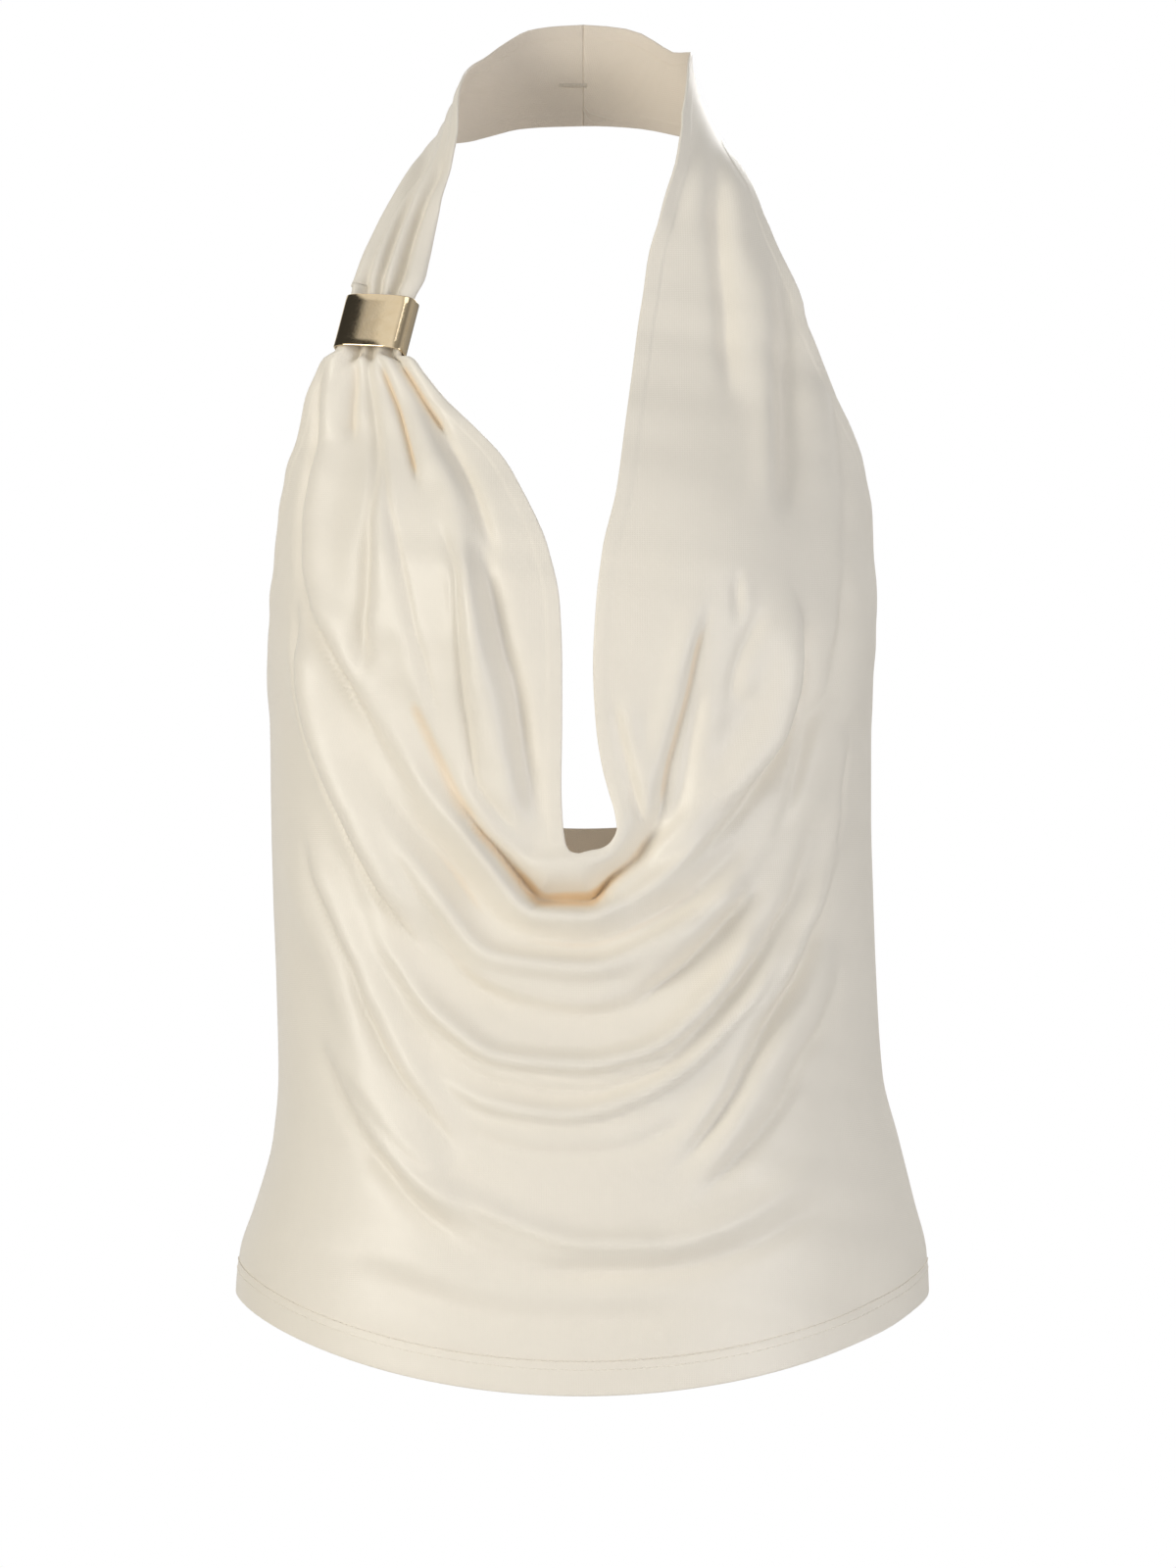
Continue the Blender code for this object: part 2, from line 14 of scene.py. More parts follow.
import bpy
import numpy as np
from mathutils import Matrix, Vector


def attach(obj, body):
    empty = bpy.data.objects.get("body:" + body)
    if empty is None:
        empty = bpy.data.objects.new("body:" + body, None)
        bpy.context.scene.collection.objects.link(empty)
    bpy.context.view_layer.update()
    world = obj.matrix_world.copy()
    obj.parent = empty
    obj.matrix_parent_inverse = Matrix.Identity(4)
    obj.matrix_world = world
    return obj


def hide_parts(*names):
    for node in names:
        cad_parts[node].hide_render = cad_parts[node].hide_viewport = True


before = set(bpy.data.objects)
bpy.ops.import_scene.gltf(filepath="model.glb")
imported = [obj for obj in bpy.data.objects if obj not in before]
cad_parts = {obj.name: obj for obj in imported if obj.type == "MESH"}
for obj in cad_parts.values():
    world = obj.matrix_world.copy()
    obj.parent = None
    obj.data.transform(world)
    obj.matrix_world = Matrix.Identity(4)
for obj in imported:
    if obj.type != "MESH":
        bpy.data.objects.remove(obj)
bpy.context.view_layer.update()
MM = 0.001

# %% [markdown]
# ## Curves through a few measures
# A pattern cutter measures a body or a fold at a few places and draws a fair curve through them. A
# monotone cubic does the same: it never swings past two neighbouring measures, so a table stays short
# and a fold never gets a bulge that nobody asked for. A soft step blends one rule into the next.

# %% Curve, soft step and direction


def smooth(knots, values, at):
    """Monotone cubic through the values."""
    knots = np.asarray(knots, float)
    values = np.asarray(values, float)
    at = np.clip(np.asarray(at, float), knots[0], knots[-1])
    step = np.diff(knots)
    slope = np.diff(values) / step
    turning = slope[:-1] * slope[1:] <= 0
    before = np.where(turning, 1, slope[:-1])
    after = np.where(turning, 1, slope[1:])
    near = 2 * step[1:] + step[:-1]
    far = step[1:] + 2 * step[:-1]
    inner = np.where(turning, 0, (near + far) / (near / before + far / after))
    tangent = np.concatenate([slope[:1], inner, slope[-1:]])
    cell = np.clip(np.searchsorted(knots, at, side="right") - 1, 0, len(knots) - 2)
    u = (at - knots[cell]) / step[cell]
    rise = values[cell + 1] - values[cell]
    bend_in = tangent[cell] * step[cell] - rise
    bend_out = rise - tangent[cell + 1] * step[cell]
    return values[cell] + u * rise + u * (1 - u) * (bend_in * (1 - u) + bend_out * u)


def ease(value, low, high):
    """0 below low, 1 above high, with a soft change between."""
    u = np.clip((np.asarray(value, float) - low) / (high - low), 0, 1)
    return u * u * (3 - 2 * u)


def unit(vector):
    return vector / np.linalg.norm(vector, axis=-1, keepdims=True)


# %% [markdown]
# ## The body under the cloth
# Cloth lies on a body and takes its large shape from it. The body is never shown. It is a stack of
# rounded ovals, each with its own half widths, front and back, and a soft swell at the bust. A turn in
# degrees and a height in millimetres name a point on it, which is how the tables below place cloth.

# %% The general figure
BUST_SWELL = 9.0
BUST_OFFSET = 82.0
BUST_HEIGHT = -258.0
BUST_WIDTH_SPREAD = 46.0
BUST_HEIGHT_SPREAD = 52.0
SIDE_LINE = -60.0
SQUARENESS = 2.3

# height, half width on the ring side, half width on the plain side, front, back (mm)
FIGURE = np.array((
    (45, 51, 49, -106, 0),
    (0, 54, 51, -110, 0),
    (-20, 62, 56, -112, 2),
    (-38, 71, 65, -114, 4),
    (-55, 85, 80, -117, 8),
    (-75, 104, 98, -120, 12),
    (-100, 124, 121, -126, 16),
    (-125, 140, 136, -135, 20),
    (-155, 147, 138, -149, 23),
    (-185, 149, 138.5, -166, 25),
    (-220, 150, 139, -184, 26),
    (-255, 150, 139, -193, 26),
    (-290, 150, 138, -195, 24),
    (-320, 148.5, 136.5, -191, 19),
    (-360, 148, 136.5, -187, 12),
    (-400, 147, 137.5, -186, 6),
    (-440, 145.5, 139, -187, 4),
    (-485, 144.5, 142, -189, 8),
    (-515, 147, 149.5, -190, 14),
    (-545, 155, 157, -191, 22),
    (-570, 163, 163, -192, 30),
    (-600, 165, 164, -192, 35),
    (-640, 165, 164, -192, 38),
), float)[::-1]
FIGURE_COLUMNS = {"ring side": 1, "plain side": 2, "front": 3, "back": 4}


def figure_size(name, height):
    return smooth(FIGURE[:, 0], FIGURE[:, FIGURE_COLUMNS[name]], height)


def half_width(x, height):
    return np.where(x < 0, figure_size("ring side", height), figure_size("plain side", height))


def figure_point(turn, height):
    """Point on the figure: turn 0 is centre front, -90 the ring side, 90 the plain side, 180 back."""
    turn = np.radians(turn)
    across = np.sin(turn)
    x = half_width(across, height) * across
    round_out = (1 - np.abs(across) ** SQUARENESS) ** (1 / SQUARENESS)
    forward = np.cos(turn) >= 0
    reach = np.where(forward, figure_size("front", height), figure_size("back", height)) - SIDE_LINE
    off_bust_x = (np.abs(x) - BUST_OFFSET) / BUST_WIDTH_SPREAD
    off_bust_z = (height - BUST_HEIGHT) / BUST_HEIGHT_SPREAD
    swell = BUST_SWELL * np.exp(-(off_bust_x ** 2 + off_bust_z ** 2) / 2)
    reach = reach - np.where(forward, swell, 0)
    return np.stack(np.broadcast_arrays(x, SIDE_LINE + reach * round_out, height), axis=-1)


def figure_normal(turn, height):
    turn_step = 1.5
    height_step = 3.0
    round_it = figure_point(turn + turn_step, height) - figure_point(turn - turn_step, height)
    up_it = figure_point(turn, height + height_step) - figure_point(turn, height - height_step)
    return unit(np.cross(round_it, up_it))


WAIST_HEIGHT = -440
waist = half_width(-1, WAIST_HEIGHT) + half_width(1, WAIST_HEIGHT)
print("Waist across in mm:", round(float(waist)))

# %% [markdown]
# ## Where the front's cloth runs
# The front is laid out as a ribbon. Sections are counted along it, with the ring at 0 to 1, and each
# row says where a section starts at the neckline and ends at the outer edge: the armhole, the side
# seam or the hem. This way the mesh, its edges and the pleats in the ring run with the cloth.

# %% Sections of the front
HEM_SIDE = -588.0
FRONT_HEM_DROP = 38.5
FRONT_HEM_ROUNDNESS = 1.7

# neckline turn, neckline height, outer edge turn, outer edge height
GATHERED_STRAP = (
    (-180, 24.4, -180, -25),
    (-165, 23.5, -166, -25.5),
    (-150, 21, -152, -27),
    (-135, 14, -139, -31),
    (-118, 5, -126, -35),
    (-101, -1, -113, -37),
    (-82, -10, -100, -38),
    (-67, -24, -86, -43),
    (-55, -40, -73, -54),
    (-45, -59, -64, -69),
    (-38, -80, -56, -91),
    (-33.5, -105, -51, -114),
)

# neckline x, neckline height, outer edge turn, outer edge height (HEM where the hem gives it)
HEM = None
COWL = (
    (-73, -126, -50, -121),
    (-78, -148, -50.5, -144.5),
    (-74.5, -156, -54, -154),
    (-64.5, -169, -59, -168),
    (-49, -183, -63, -182),
    (-36, -197, -67, -195),
    (-28, -211, -70, -209),
    (-16, -238, -74, -236),
    (-10.5, -265, -79, -263),
    (-9.5, -292, -83, -291),
    (-9.5, -319, -90, -318),
    (-9.9, -346, -90, -385),
    (-9, -366, -90, -455),
    (-7.5, -374.5, -90, -520),
    (-5, -377.5, -90, -568),
    (-2, -378, -90, HEM),
    (1, -377.3, -50, HEM),
    (4, -376.5, -18, HEM),
    (7, -376, 14, HEM),
    (10, -374.8, 46, HEM),
    (13.3, -371.5, 90, HEM),
    (15.3, -366, 90, -566),
    (14.4, -359, 90, -512),
    (11.5, -349, 90, -452),
    (8.5, -337, 90, -390),
    (5.9, -319, 90, -330),
    (4.6, -292, 80, -291),
    (5.9, -265, 80, -263),
    (9.1, -238, 79, -236),
    (15.4, -211, 75, -209),
    (19.1, -183, 66, -181.5),
    (22.8, -155, 56, -153.5),
    (26.6, -126, 50, -125.5),
    (30.8, -97.6, 52, -97),
    (35, -83, 56, -82),
    (38.5, -69, 62, -67),
)

# neckline turn, neckline height, outer edge turn, outer edge height
PLAIN_STRAP = (
    (33, -54, 69, -52),
    (44, -38, 84, -40),
    (60, -18, 99, -37),
    (82, 2, 112, -35),
    (103, 6, 126, -33),
    (121, 8, 138, -30),
    (137, 15, 151, -27),
    (151, 21, 164, -25.5),
    (166, 23.5, 173, -25),
    (180, 24.4, 180, -25),
)


def front_hem(turn):
    drop = FRONT_HEM_DROP * np.clip(np.cos(np.radians(turn)), 0, 1) ** FRONT_HEM_ROUNDNESS
    return HEM_SIDE - drop


def section_rows():
    rows = [list(row) for row in GATHERED_STRAP]
    for neck_x, neck_height, edge_turn, edge_height in COWL:
        neck_turn = math.degrees(math.asin(neck_x / float(half_width(neck_x, neck_height))))
        if edge_height is HEM:
            edge_height = float(front_hem(edge_turn))
        rows.append([neck_turn, neck_height, edge_turn, edge_height])
    rows.extend(list(row) for row in PLAIN_STRAP)
    return np.array(rows, float)


ROWS = section_rows()
SECTIONS = np.arange(len(ROWS)) - len(GATHERED_STRAP)
HEM_SECTIONS = [section for section, row in enumerate(COWL) if row[3] is HEM]
print("Sections:", SECTIONS[0], "to", SECTIONS[-1], "with the hem from", *HEM_SECTIONS[::4])

# %% [markdown]
# A share from 0 to 1 goes across a section from the neckline to the outer edge. The outer edge has a
# sharp corner where the side seam meets the hem. The cloth inside has none, so there the way across
# heads for a rounded corner, and turns to the real one only near the edge.

# %% A place on the front's cloth
CORNER_ROUNDING = 1.5
CORNER_FADE = (1, 2.5)
CORNER_PLACES = 7


def outer_edge(section):
    turn = smooth(SECTIONS, ROWS[:, 2], section)
    height = smooth(SECTIONS, ROWS[:, 3], section)
    on_hem = (section >= HEM_SECTIONS[0]) & (section <= HEM_SECTIONS[-1])
    return turn, np.where(on_hem, front_hem(turn), height)


def across_section(section, share):
    """Turn and height at a share of the way across a section."""
    neck_turn = smooth(SECTIONS, ROWS[:, 0], section)
    neck_height = smooth(SECTIONS, ROWS[:, 1], section)
    turn, height = outer_edge(section)
    from_corner = np.minimum(np.abs(section - HEM_SECTIONS[0]), np.abs(section - HEM_SECTIONS[-1]))
    reach = CORNER_ROUNDING * (1 - ease(from_corner, *CORNER_FADE))
    around = [outer_edge(section + reach * step) for step in np.linspace(-1, 1, CORNER_PLACES)]
    round_turn = sum(each[0] for each in around) / len(around)
    round_height = sum(each[1] for each in around) / len(around)
    at_edge = ease(share, 0.5, 1)
    edge_turn = round_turn + (turn - round_turn) * at_edge
    edge_height = round_height + (height - round_height) * at_edge
    turn = neck_turn + (edge_turn - neck_turn) * share
    return turn, neck_height + (edge_height - neck_height) * share


def section_lengths():
    share = np.linspace(0, 1, 33)[None, :]
    points = figure_point(*across_section(SECTIONS[:, None].astype(float), share))
    return np.linalg.norm(np.diff(points, axis=1), axis=-1).sum(axis=1)


SECTION_LENGTHS = section_lengths()


def length_across(section):
    return np.interp(section, SECTIONS, SECTION_LENGTHS)


print("Widest section in mm:", round(SECTION_LENGTHS.max()))

# %% [markdown]
# ## The broad folds
# A cowl is cut with more cloth than the body needs, and the spare cloth hangs in rolls from strap to
# strap. Cloth simulation could make rolls, but not these rolls in these places. So each roll, and each
# hollow between two rolls, is drawn as a line, the way a fashion plate is drawn, as seen from
# in front. Its crest stands above the body or its foot lies below, and it is wider on one side.

# %% Broad folds: rolls and hollows
# height above the figure, width to the line's left, width to its right, then the line's x and height
FOLDS = {
    "cowl lip": (5, 6, 9, (
        (-58, -325), (-50, -350), (-36, -372), (-22, -383), (0, -382), (13, -378), (18, -362),
        (14, -335))),
    "deep fold": (-8, 7, 3.5, (
        (-49, -365), (-38, -379), (-29, -391), (-19, -400), (2, -400), (13, -390),
        (27, -378), (36, -363), (42, -350))),
    "second lip": (8, 4, 12, (
        (-94, -302), (-77, -337), (-54, -366), (-40, -384), (-22, -404), (0, -407), (15, -403),
        (33, -391), (61, -367), (84, -338), (94, -310))),
    "hollow under second lip": (-4, 9, 7, (
        (-92, -340), (-77, -362), (-60, -385), (-42, -405), (-20, -416), (0, -418), (20, -412),
        (45, -398), (66, -378), (84, -352), (98, -325))),
    "upper swag": (6.5, 4, 9, (
        (-112, -320), (-98, -348), (-80, -375), (-65, -395), (-50, -418), (-40, -425), (2, -430),
        (32, -419), (62, -397), (88, -369))),
    "hollow under upper swag": (-4, 5, 9, (
        (-90, -385), (-72, -412), (-50, -440), (-25, -452), (0, -455), (20, -450), (38, -438),
        (55, -422), (72, -404), (86, -385))),
    "middle swag": (5.5, 5, 5, (
        (-108, -385), (-84, -429), (-68, -450), (-52, -463), (-38, -472), (2, -475), (32, -468),
        (48, -455), (62, -437), (76, -411), (100, -368))),
    "lower swag": (4, 5, 6, (
        (-75, -468), (-58, -484), (-40, -492), (-8, -498), (24, -491), (42, -481), (58, -467),
        (74, -447), (90, -420), (101, -395))),
    "outer roll": (5.5, 9, 8, (
        (-127, -262), (-126, -290), (-120, -320), (-108, -350), (-94, -378), (-80, -400),
        (-66, -420))),
    "flank roll": (5.5, 7, 7, (
        (-131, -350), (-123, -378), (-113, -402), (-100, -430), (-76, -478), (-62, -498),
        (-48, -512))),
    "long swag": (4, 8, 5, (
        (-118, -455), (-106, -485), (-92, -508), (-76, -526), (-56, -539), (-26, -553), (4, -559),
        (30, -560), (56, -552), (80, -541), (104, -525), (118, -508))),
    "hollow under long swag": (-1.6, 5, 8, (
        (-122, -470), (-108, -498), (-90, -524), (-68, -547), (-40, -565), (0, -570), (32, -569),
        (60, -563), (86, -552), (112, -537), (126, -526))),
    "hem hollow": (-1, 9, 9, (
        (-118, -562), (-96, -572), (-64, -584), (-20, -591), (20, -591), (56, -584))),
    "plain flank roll, upper": (3.5, 5, 6, (
        (66, -466), (82, -444), (94, -425), (103, -406), (111, -384), (120, -345))),
    "plain flank trough, upper": (-2, 5, 5, (
        (36, -530), (49, -516), (68, -491), (77, -473), (86, -455), (96, -440), (113, -392))),
    "plain flank roll, lower": (3, 5, 6, (
        (50, -522), (64, -507), (75, -488), (86, -470), (98, -450), (108, -428), (116, -400))),
    "plain flank trough, lower": (-1.8, 5, 5, (
        (50, -541), (70, -519), (80, -508), (92, -492), (101, -474), (110, -459), (117, -442))),
    "bust fold": (4, 12, 4, (
        (55, -360), (73, -343), (86, -325), (94, -303), (96, -280), (90, -245))),
    "bust trough": (-5, 4, 8, (
        (40, -387), (57, -373), (78, -349), (89, -335), (96, -322), (101, -305), (103, -262))),
    "deep crease": (-1.5, 5, 5, (
        (31, -372), (36, -355), (41, -335), (47, -312), (52, -290), (58, -268))),
    "outer chest trough": (-3, 6, 6, (
        (-130, -250), (-122, -277), (-108, -303), (-94, -328), (-80, -348), (-66, -368))),
    "middle chest trough": (-2.5, 6, 6, ((-97, -222), (-101, -258), (-101, -285), (-97, -310))),
    "neckline chest trough": (-3, 6, 6, (
        (-70, -178), (-56, -203), (-46, -245), (-38, -280), (-31, -310), (-26, -340), (-18, -370))),
    "ridge by the neckline": (3, 8, 8, (
        (-62, -228), (-52, -255), (-47, -290), (-40, -320), (-30, -350), (-21, -372))),
    "shoulder trough": (-3, 7, 7, ((94, -228), (94, -175), (94, -120))),
    "strap trough": (-1.5, 7, 7, ((60, -50), (64, -90), (68, -130), (68, -180))),
}
LINE_POINTS = 40
LINE_REACH = 26.0
FOLD_FADE = 0.25
FIRST_FADING_TURN = 74.0
LAST_FOLD_TURN = 88.0


def fold(off_centre, width_in, width_out):
    """1 on the crest, falling off on each side at that side's own width."""
    width = np.where(off_centre < 0, width_in, width_out)
    return np.exp(-(off_centre / width) ** 2)


def beside_line(path, x, height):
    """How far each place lies to the left of a drawn line (mm), and the share of the line run there."""
    path = np.array(path, float)
    ran = np.insert(np.cumsum(np.linalg.norm(np.diff(path, axis=0), axis=1)), 0, 0)
    at = np.linspace(0, ran[-1], LINE_POINTS)
    line = np.stack([smooth(ran, path[:, 0], at), smooth(ran, path[:, 1], at)], axis=1)
    nearest = np.full(x.shape, np.inf)
    left = np.zeros(x.shape)
    share = np.zeros(x.shape)
    for step, (start, stop) in enumerate(zip(line[:-1], line[1:])):
        length = np.linalg.norm(stop - start)
        way_x, way_z = (stop - start) / length
        off_x, off_z = x - start[0], height - start[1]
        run = np.clip(off_x * way_x + off_z * way_z, 0, length)
        gap = np.hypot(off_x - run * way_x, off_z - run * way_z)
        nearer = gap < nearest
        nearest = np.where(nearer, gap, nearest)
        left = np.where(nearer, gap * np.sign(way_x * off_z - way_z * off_x), left)
        share = np.where(nearer, (step + run / length) / (LINE_POINTS - 1), share)
    return left, share


def along_line(path, turn, height, fade):
    """Places near a drawn line, how far they lie to its left (mm), and how much fold is held there."""
    x = figure_point(turn, height)[..., 0]
    low, high = np.min(path, axis=0) - LINE_REACH, np.max(path, axis=0) + LINE_REACH
    near = (x > low[0]) & (x < high[0]) & (height > low[1]) & (height < high[1])
    near &= np.abs(turn) < LAST_FOLD_TURN
    left, share = beside_line(path, x[near], height[near])
    held = ease(share, 0, fade) * (1 - ease(share, 1 - fade, 1))
    return near, left, held * (1 - ease(np.abs(turn[near]), FIRST_FADING_TURN, LAST_FOLD_TURN))


def relief(turn, height):
    """Height of the broad folds above the figure (mm)."""
    out = np.zeros(turn.shape)
    for rise, width_left, width_right, path in FOLDS.values():
        near, left, held = along_line(path, turn, height, FOLD_FADE)
        out[near] += rise * held * fold(-left, width_left, width_right)
    return out


print("Broad folds:", len(FOLDS))

# %% [markdown]
# Satin-faced jersey folds over sharply where it is pulled. Such a crease is a narrow line with a roll
# of cloth on one side, and the roll is steep towards the line. The creases are drawn like the broad
# folds, in the same view. The roll lies on the left of the way the line is drawn.

# %% Crisp creases
# line depth, line width, roll height, roll width, warmth of the painted warm light, then the line's x
# and height
CREASES = {
    "first gather": (4, 3, 2, 7, 0.6, ((-109, -190), (-104, -163), (-101, -146))),
    "outer chest roll": (3.6, 2.5, 4.4, 7, 0.1, (
        (-112, -140), (-118, -160), (-125, -190), (-131, -225), (-131, -245), (-126, -266), (-118, -283),
        (-107, -305), (-98, -320), (-87, -339))),
    "middle chest": (2.8, 3, 2.8, 7, 0, (
        (-98, -146), (-96, -175), (-95, -205), (-98, -225), (-101, -258), (-102, -280), (-99, -305))),
    "second gather": (2, 2, 1.5, 6, 0.3, (
        (-59, -332), (-66, -314), (-73, -290), (-79, -268), (-84, -242), (-88, -222), (-91, -200),
        (-96, -180))),
    "hollow above the rim": (1.6, 4, 1.5, 8, 0.75, (
        (-83, -296), (-74, -317), (-57, -352), (-40, -374))),
    "third gather": (3.4, 2, 2.4, 7, 0.8, (
        (-93, -147), (-88, -163), (-83, -178), (-79, -194), (-75, -213))),
    "third gather's end": (3, 2.2, 3, 6, 0.15, (
        (-68, -222), (-62, -238), (-57, -252), (-56, -275), (-55, -300), (-52, -322), (-49, -343),
        (-38, -360), (-26, -376))),
    "fourth gather": (3.5, 2.2, 1.5, 5, 0.8, ((-85, -150), (-77, -163), (-70, -175), (-60, -187))),
    "neckline drag": (3, 3.5, 3, 8, 0.15, (
        (-38, -245), (-44, -230), (-49, -215), (-56, -201), (-65, -186), (-76, -168))),
    "inner chest": (3, 4.5, 4, 8, 0.05, (
        (-16, -372), (-23, -355), (-28, -330), (-31, -305), (-37, -285), (-46, -250), (-53, -230))),
    "rim of the second lip": (4, 2.2, 2, 5, 0.9, (
        (27, -378), (14, -389), (3, -401), (-19, -401), (-29, -391), (-38, -379), (-49, -365),
        (-62, -347))),
    "outer roll's foot": (4.2, 2, 4.6, 8, 0.25, (
        (-133, -250), (-133, -272), (-130, -300), (-126, -323), (-118, -345), (-109, -366),
        (-100, -386), (-89, -404), (-77, -420), (-66, -432))),
    "flank roll's foot": (3, 2.5, 4, 8, 0.15, (
        (-53, -524), (-62, -510), (-73, -494), (-83, -481), (-92, -466), (-99, -451), (-105, -432),
        (-113, -415), (-123, -393), (-131, -360))),
    "low flank": (3, 5, 3.5, 9, 0, (
        (-127, -458), (-118, -477), (-109, -496), (-99, -511), (-88, -526), (-77, -539),
        (-64, -549), (-48, -555))),
    "inner flank": (2, 3, 2, 6, 0, (
        (-111, -477), (-100, -493), (-90, -506), (-75, -522), (-64, -531))),
    "long swag's edge": (2, 2, 2.2, 5, 0.2, (
        (-60, -536), (-41, -548), (-26, -554), (-11, -559), (5, -561), (30, -561), (50, -556))),
    "long swag's hollow": (2.2, 6, 2, 8, 0, (
        (-38, -571), (4, -569), (32, -568), (56, -564), (79, -557), (98, -547), (113, -537),
        (124, -528))),
    "hem hollow": (1.8, 7, 1.2, 10, 0, (
        (-116, -562), (-99, -570), (-80, -578), (-62, -584), (-41, -589), (5, -592), (35, -590),
        (56, -584))),
    "upper swag's foot": (1.5, 3, 2, 7, 0.1, (
        (-90, -368), (-78, -390), (-66, -408), (-54, -424), (-41, -432), (-20, -435), (2, -437),
        (18, -434), (34, -427))),
    "thin swag": (1.5, 2.5, 1.2, 5, 0, (
        (-62, -424), (-45, -440), (-25, -447), (0, -451), (15, -449), (28, -446))),
    "wedge": (3, 3.5, 2.4, 7, 0.1, (
        (22, -446), (29, -441), (38, -436), (49, -427), (58, -417), (68, -407), (80, -392))),
    "middle swag's edge": (2.6, 2, 3, 5, 0.2, (
        (-95, -415), (-80, -440), (-64, -460), (-49, -472), (-34, -477), (2, -480), (19, -476),
        (34, -471), (49, -460), (62, -447), (77, -429), (90, -408), (98, -391), (108, -352))),
    "thin lower swag": (1.2, 2, 1.2, 4, 0.05, (
        (-70, -462), (-50, -478), (-30, -485), (4, -487), (22, -482), (38, -475), (52, -464))),
    "lower swag's edge": (2, 1.8, 2.6, 4.5, 0.1, (
        (-75, -472), (-58, -490), (-41, -498), (-22, -501), (-4, -502), (11, -499), (26, -493),
        (41, -485), (54, -475), (66, -462), (79, -445), (90, -427), (100, -406))),
    "last swag's foot": (1.5, 4, 1.4, 6, 0, (
        (-62, -500), (-40, -511), (-15, -516), (5, -515), (19, -513), (32, -508), (47, -500),
        (58, -489))),
    "bust wedge": (5, 4.5, 5, 10, 0, (
        (30, -396), (48, -382), (57, -373), (68, -362), (78, -349), (89, -335), (96, -323),
        (101, -305), (103, -290), (104, -274), (102, -258))),
    "deep crease": (2.1, 2.2, 2.2, 6, 0.75, (
        (31, -372), (35, -360), (38, -342), (43, -323), (48, -305), (52, -286), (56, -272),
        (61, -259))),
    "deep crease's far side": (1.8, 2.5, 2, 7, 0.25, (
        (57, -297), (54, -306), (50, -326), (47, -344), (43, -359), (35, -370), (24, -378))),
    "short crease 1": (1.5, 2.5, 0.8, 4, 0, ((71, -250), (70, -260), (72, -271))),
    "short crease 2": (1.6, 3, 1.5, 6, 0, (
        (82, -265), (78, -274), (73, -284), (69, -296), (67, -310))),
    "plain flank overlap": (3, 2.5, 3.5, 9, 0.1, (
        (122, -235), (121, -262), (118, -283), (114, -303), (107, -315), (102, -330), (97, -347),
        (93, -359), (88, -373))),
    "outer plain flank": (3, 3.2, 3, 7, 0, (
        (36, -530), (49, -516), (60, -503), (68, -491), (77, -473), (86, -455), (96, -440),
        (106, -418), (114, -395), (119, -370))),
    "low plain flank": (2.4, 3.6, 3, 8, 0, (
        (50, -541), (58, -531), (70, -519), (80, -508), (92, -492), (101, -474), (111, -459),
        (117, -442), (121, -420))),
    "thin flank line": (1.5, 1.5, 1, 4, 0, (
        (113, -382), (118, -365), (121, -345), (123, -323))),
    "strap's soft crease": (2, 6, 1.6, 9, 0, ((41, -92), (46, -65), (57, -33))),
    "strap's long crease": (2.4, 4.5, 2.6, 9, 0, ((63, -39), (63, -82), (66, -130), (69, -172))),
    "shoulder drag": (3, 5, 3, 8, 0, (
        (93, -226), (94, -200), (94, -170), (94, -140), (92, -115), (90, -90))),
    "armhole drag": (2.4, 4, 2.4, 9, 0, (
        (121, -250), (122, -225), (121, -195), (118, -165), (115, -150))),
    "inside the plain lip": (2.2, 2.5, 2, 5, 0.1, (
        (14, -305), (17, -323), (21, -340), (25, -357), (28, -372))),
    "strap gather, outer": (2.8, 2.5, 1.4, 5, 0.2, ((-92, -121), (-84, -78), (-71, -38))),
    "strap gather, inner": (2.8, 2.5, 1.4, 5, 0.2, ((-84, -124), (-77, -86), (-63, -45))),
}
CREASE_FADE = 0.22
WARM_SPREAD = 1.6


def creases(turn, height):
    """Height the creases add (mm), and how much warm light is painted into their colour."""
    out = np.zeros(turn.shape)
    painted_warmth = np.zeros(turn.shape)
    for depth, width, roll, roll_width, painted_warm, path in CREASES.values():
        near, left, held = along_line(path, turn, height, CREASE_FADE)
        line = np.exp(-(left / width) ** 2)
        beside = np.exp(-((left - roll_width) / roll_width) ** 2)
        out[near] += held * (roll * beside - depth * line)
        painted_glowing = held * painted_warm * np.exp(-(left / (width * WARM_SPREAD)) ** 2)
        painted_warmth[near] = np.maximum(painted_warmth[near], painted_glowing)
    return out, painted_warmth


print("Creases:", len(CREASES))

# %% [markdown]
# ## The gathered strap and its ring
# The strap is drawn through a flattened metal tube, 36 mm wide, which bunches its cloth into a few
# pleats. The ring rests on the bunch, so its frame comes from the strap: along it, across it and out
# from the chest.

# %% Ring sizes, its frame and the bunched cloth inside
WALL = 1.2
RING_WIDTH = 36.0
RING_DEPTH = 14.0
RING_HEIGHT = 27.0
RING_WALL = 1.0
RING_FIT = 0.35
RING_SQUARENESS = 3.5
RING_LIFT = 7.5
IN_THE_RING = 0.5


def ring_frame():
    section = np.array([0, 1, IN_THE_RING, IN_THE_RING, IN_THE_RING])
    share = np.array([0.5, 0.5, 0.5, 0, 1])
    top, foot, middle, neck, edge = figure_point(*across_section(section, share))
    along = unit(foot - top)
    across = unit((edge - neck) - along * np.dot(edge - neck, along))
    out = unit(np.cross(across, along))
    if out[1] > 0:
        out = -out
    return middle + RING_LIFT * out, along, across, out


RING_CENTRE, RING_ALONG, RING_ACROSS, RING_OUT = ring_frame()
RUN_SECTIONS = (-1, 0, 1, 2)
RING_RUN = (-36, -RING_HEIGHT / 2, RING_HEIGHT / 2, 22)
RING_CLEAR = RING_WALL + RING_FIT + WALL / 2
BUNCH_SLACK = 0.4
BUNCH_WIDTH = RING_WIDTH - 2 * RING_CLEAR
BUNCH_RISE = RING_DEPTH / 2 - RING_CLEAR - BUNCH_SLACK

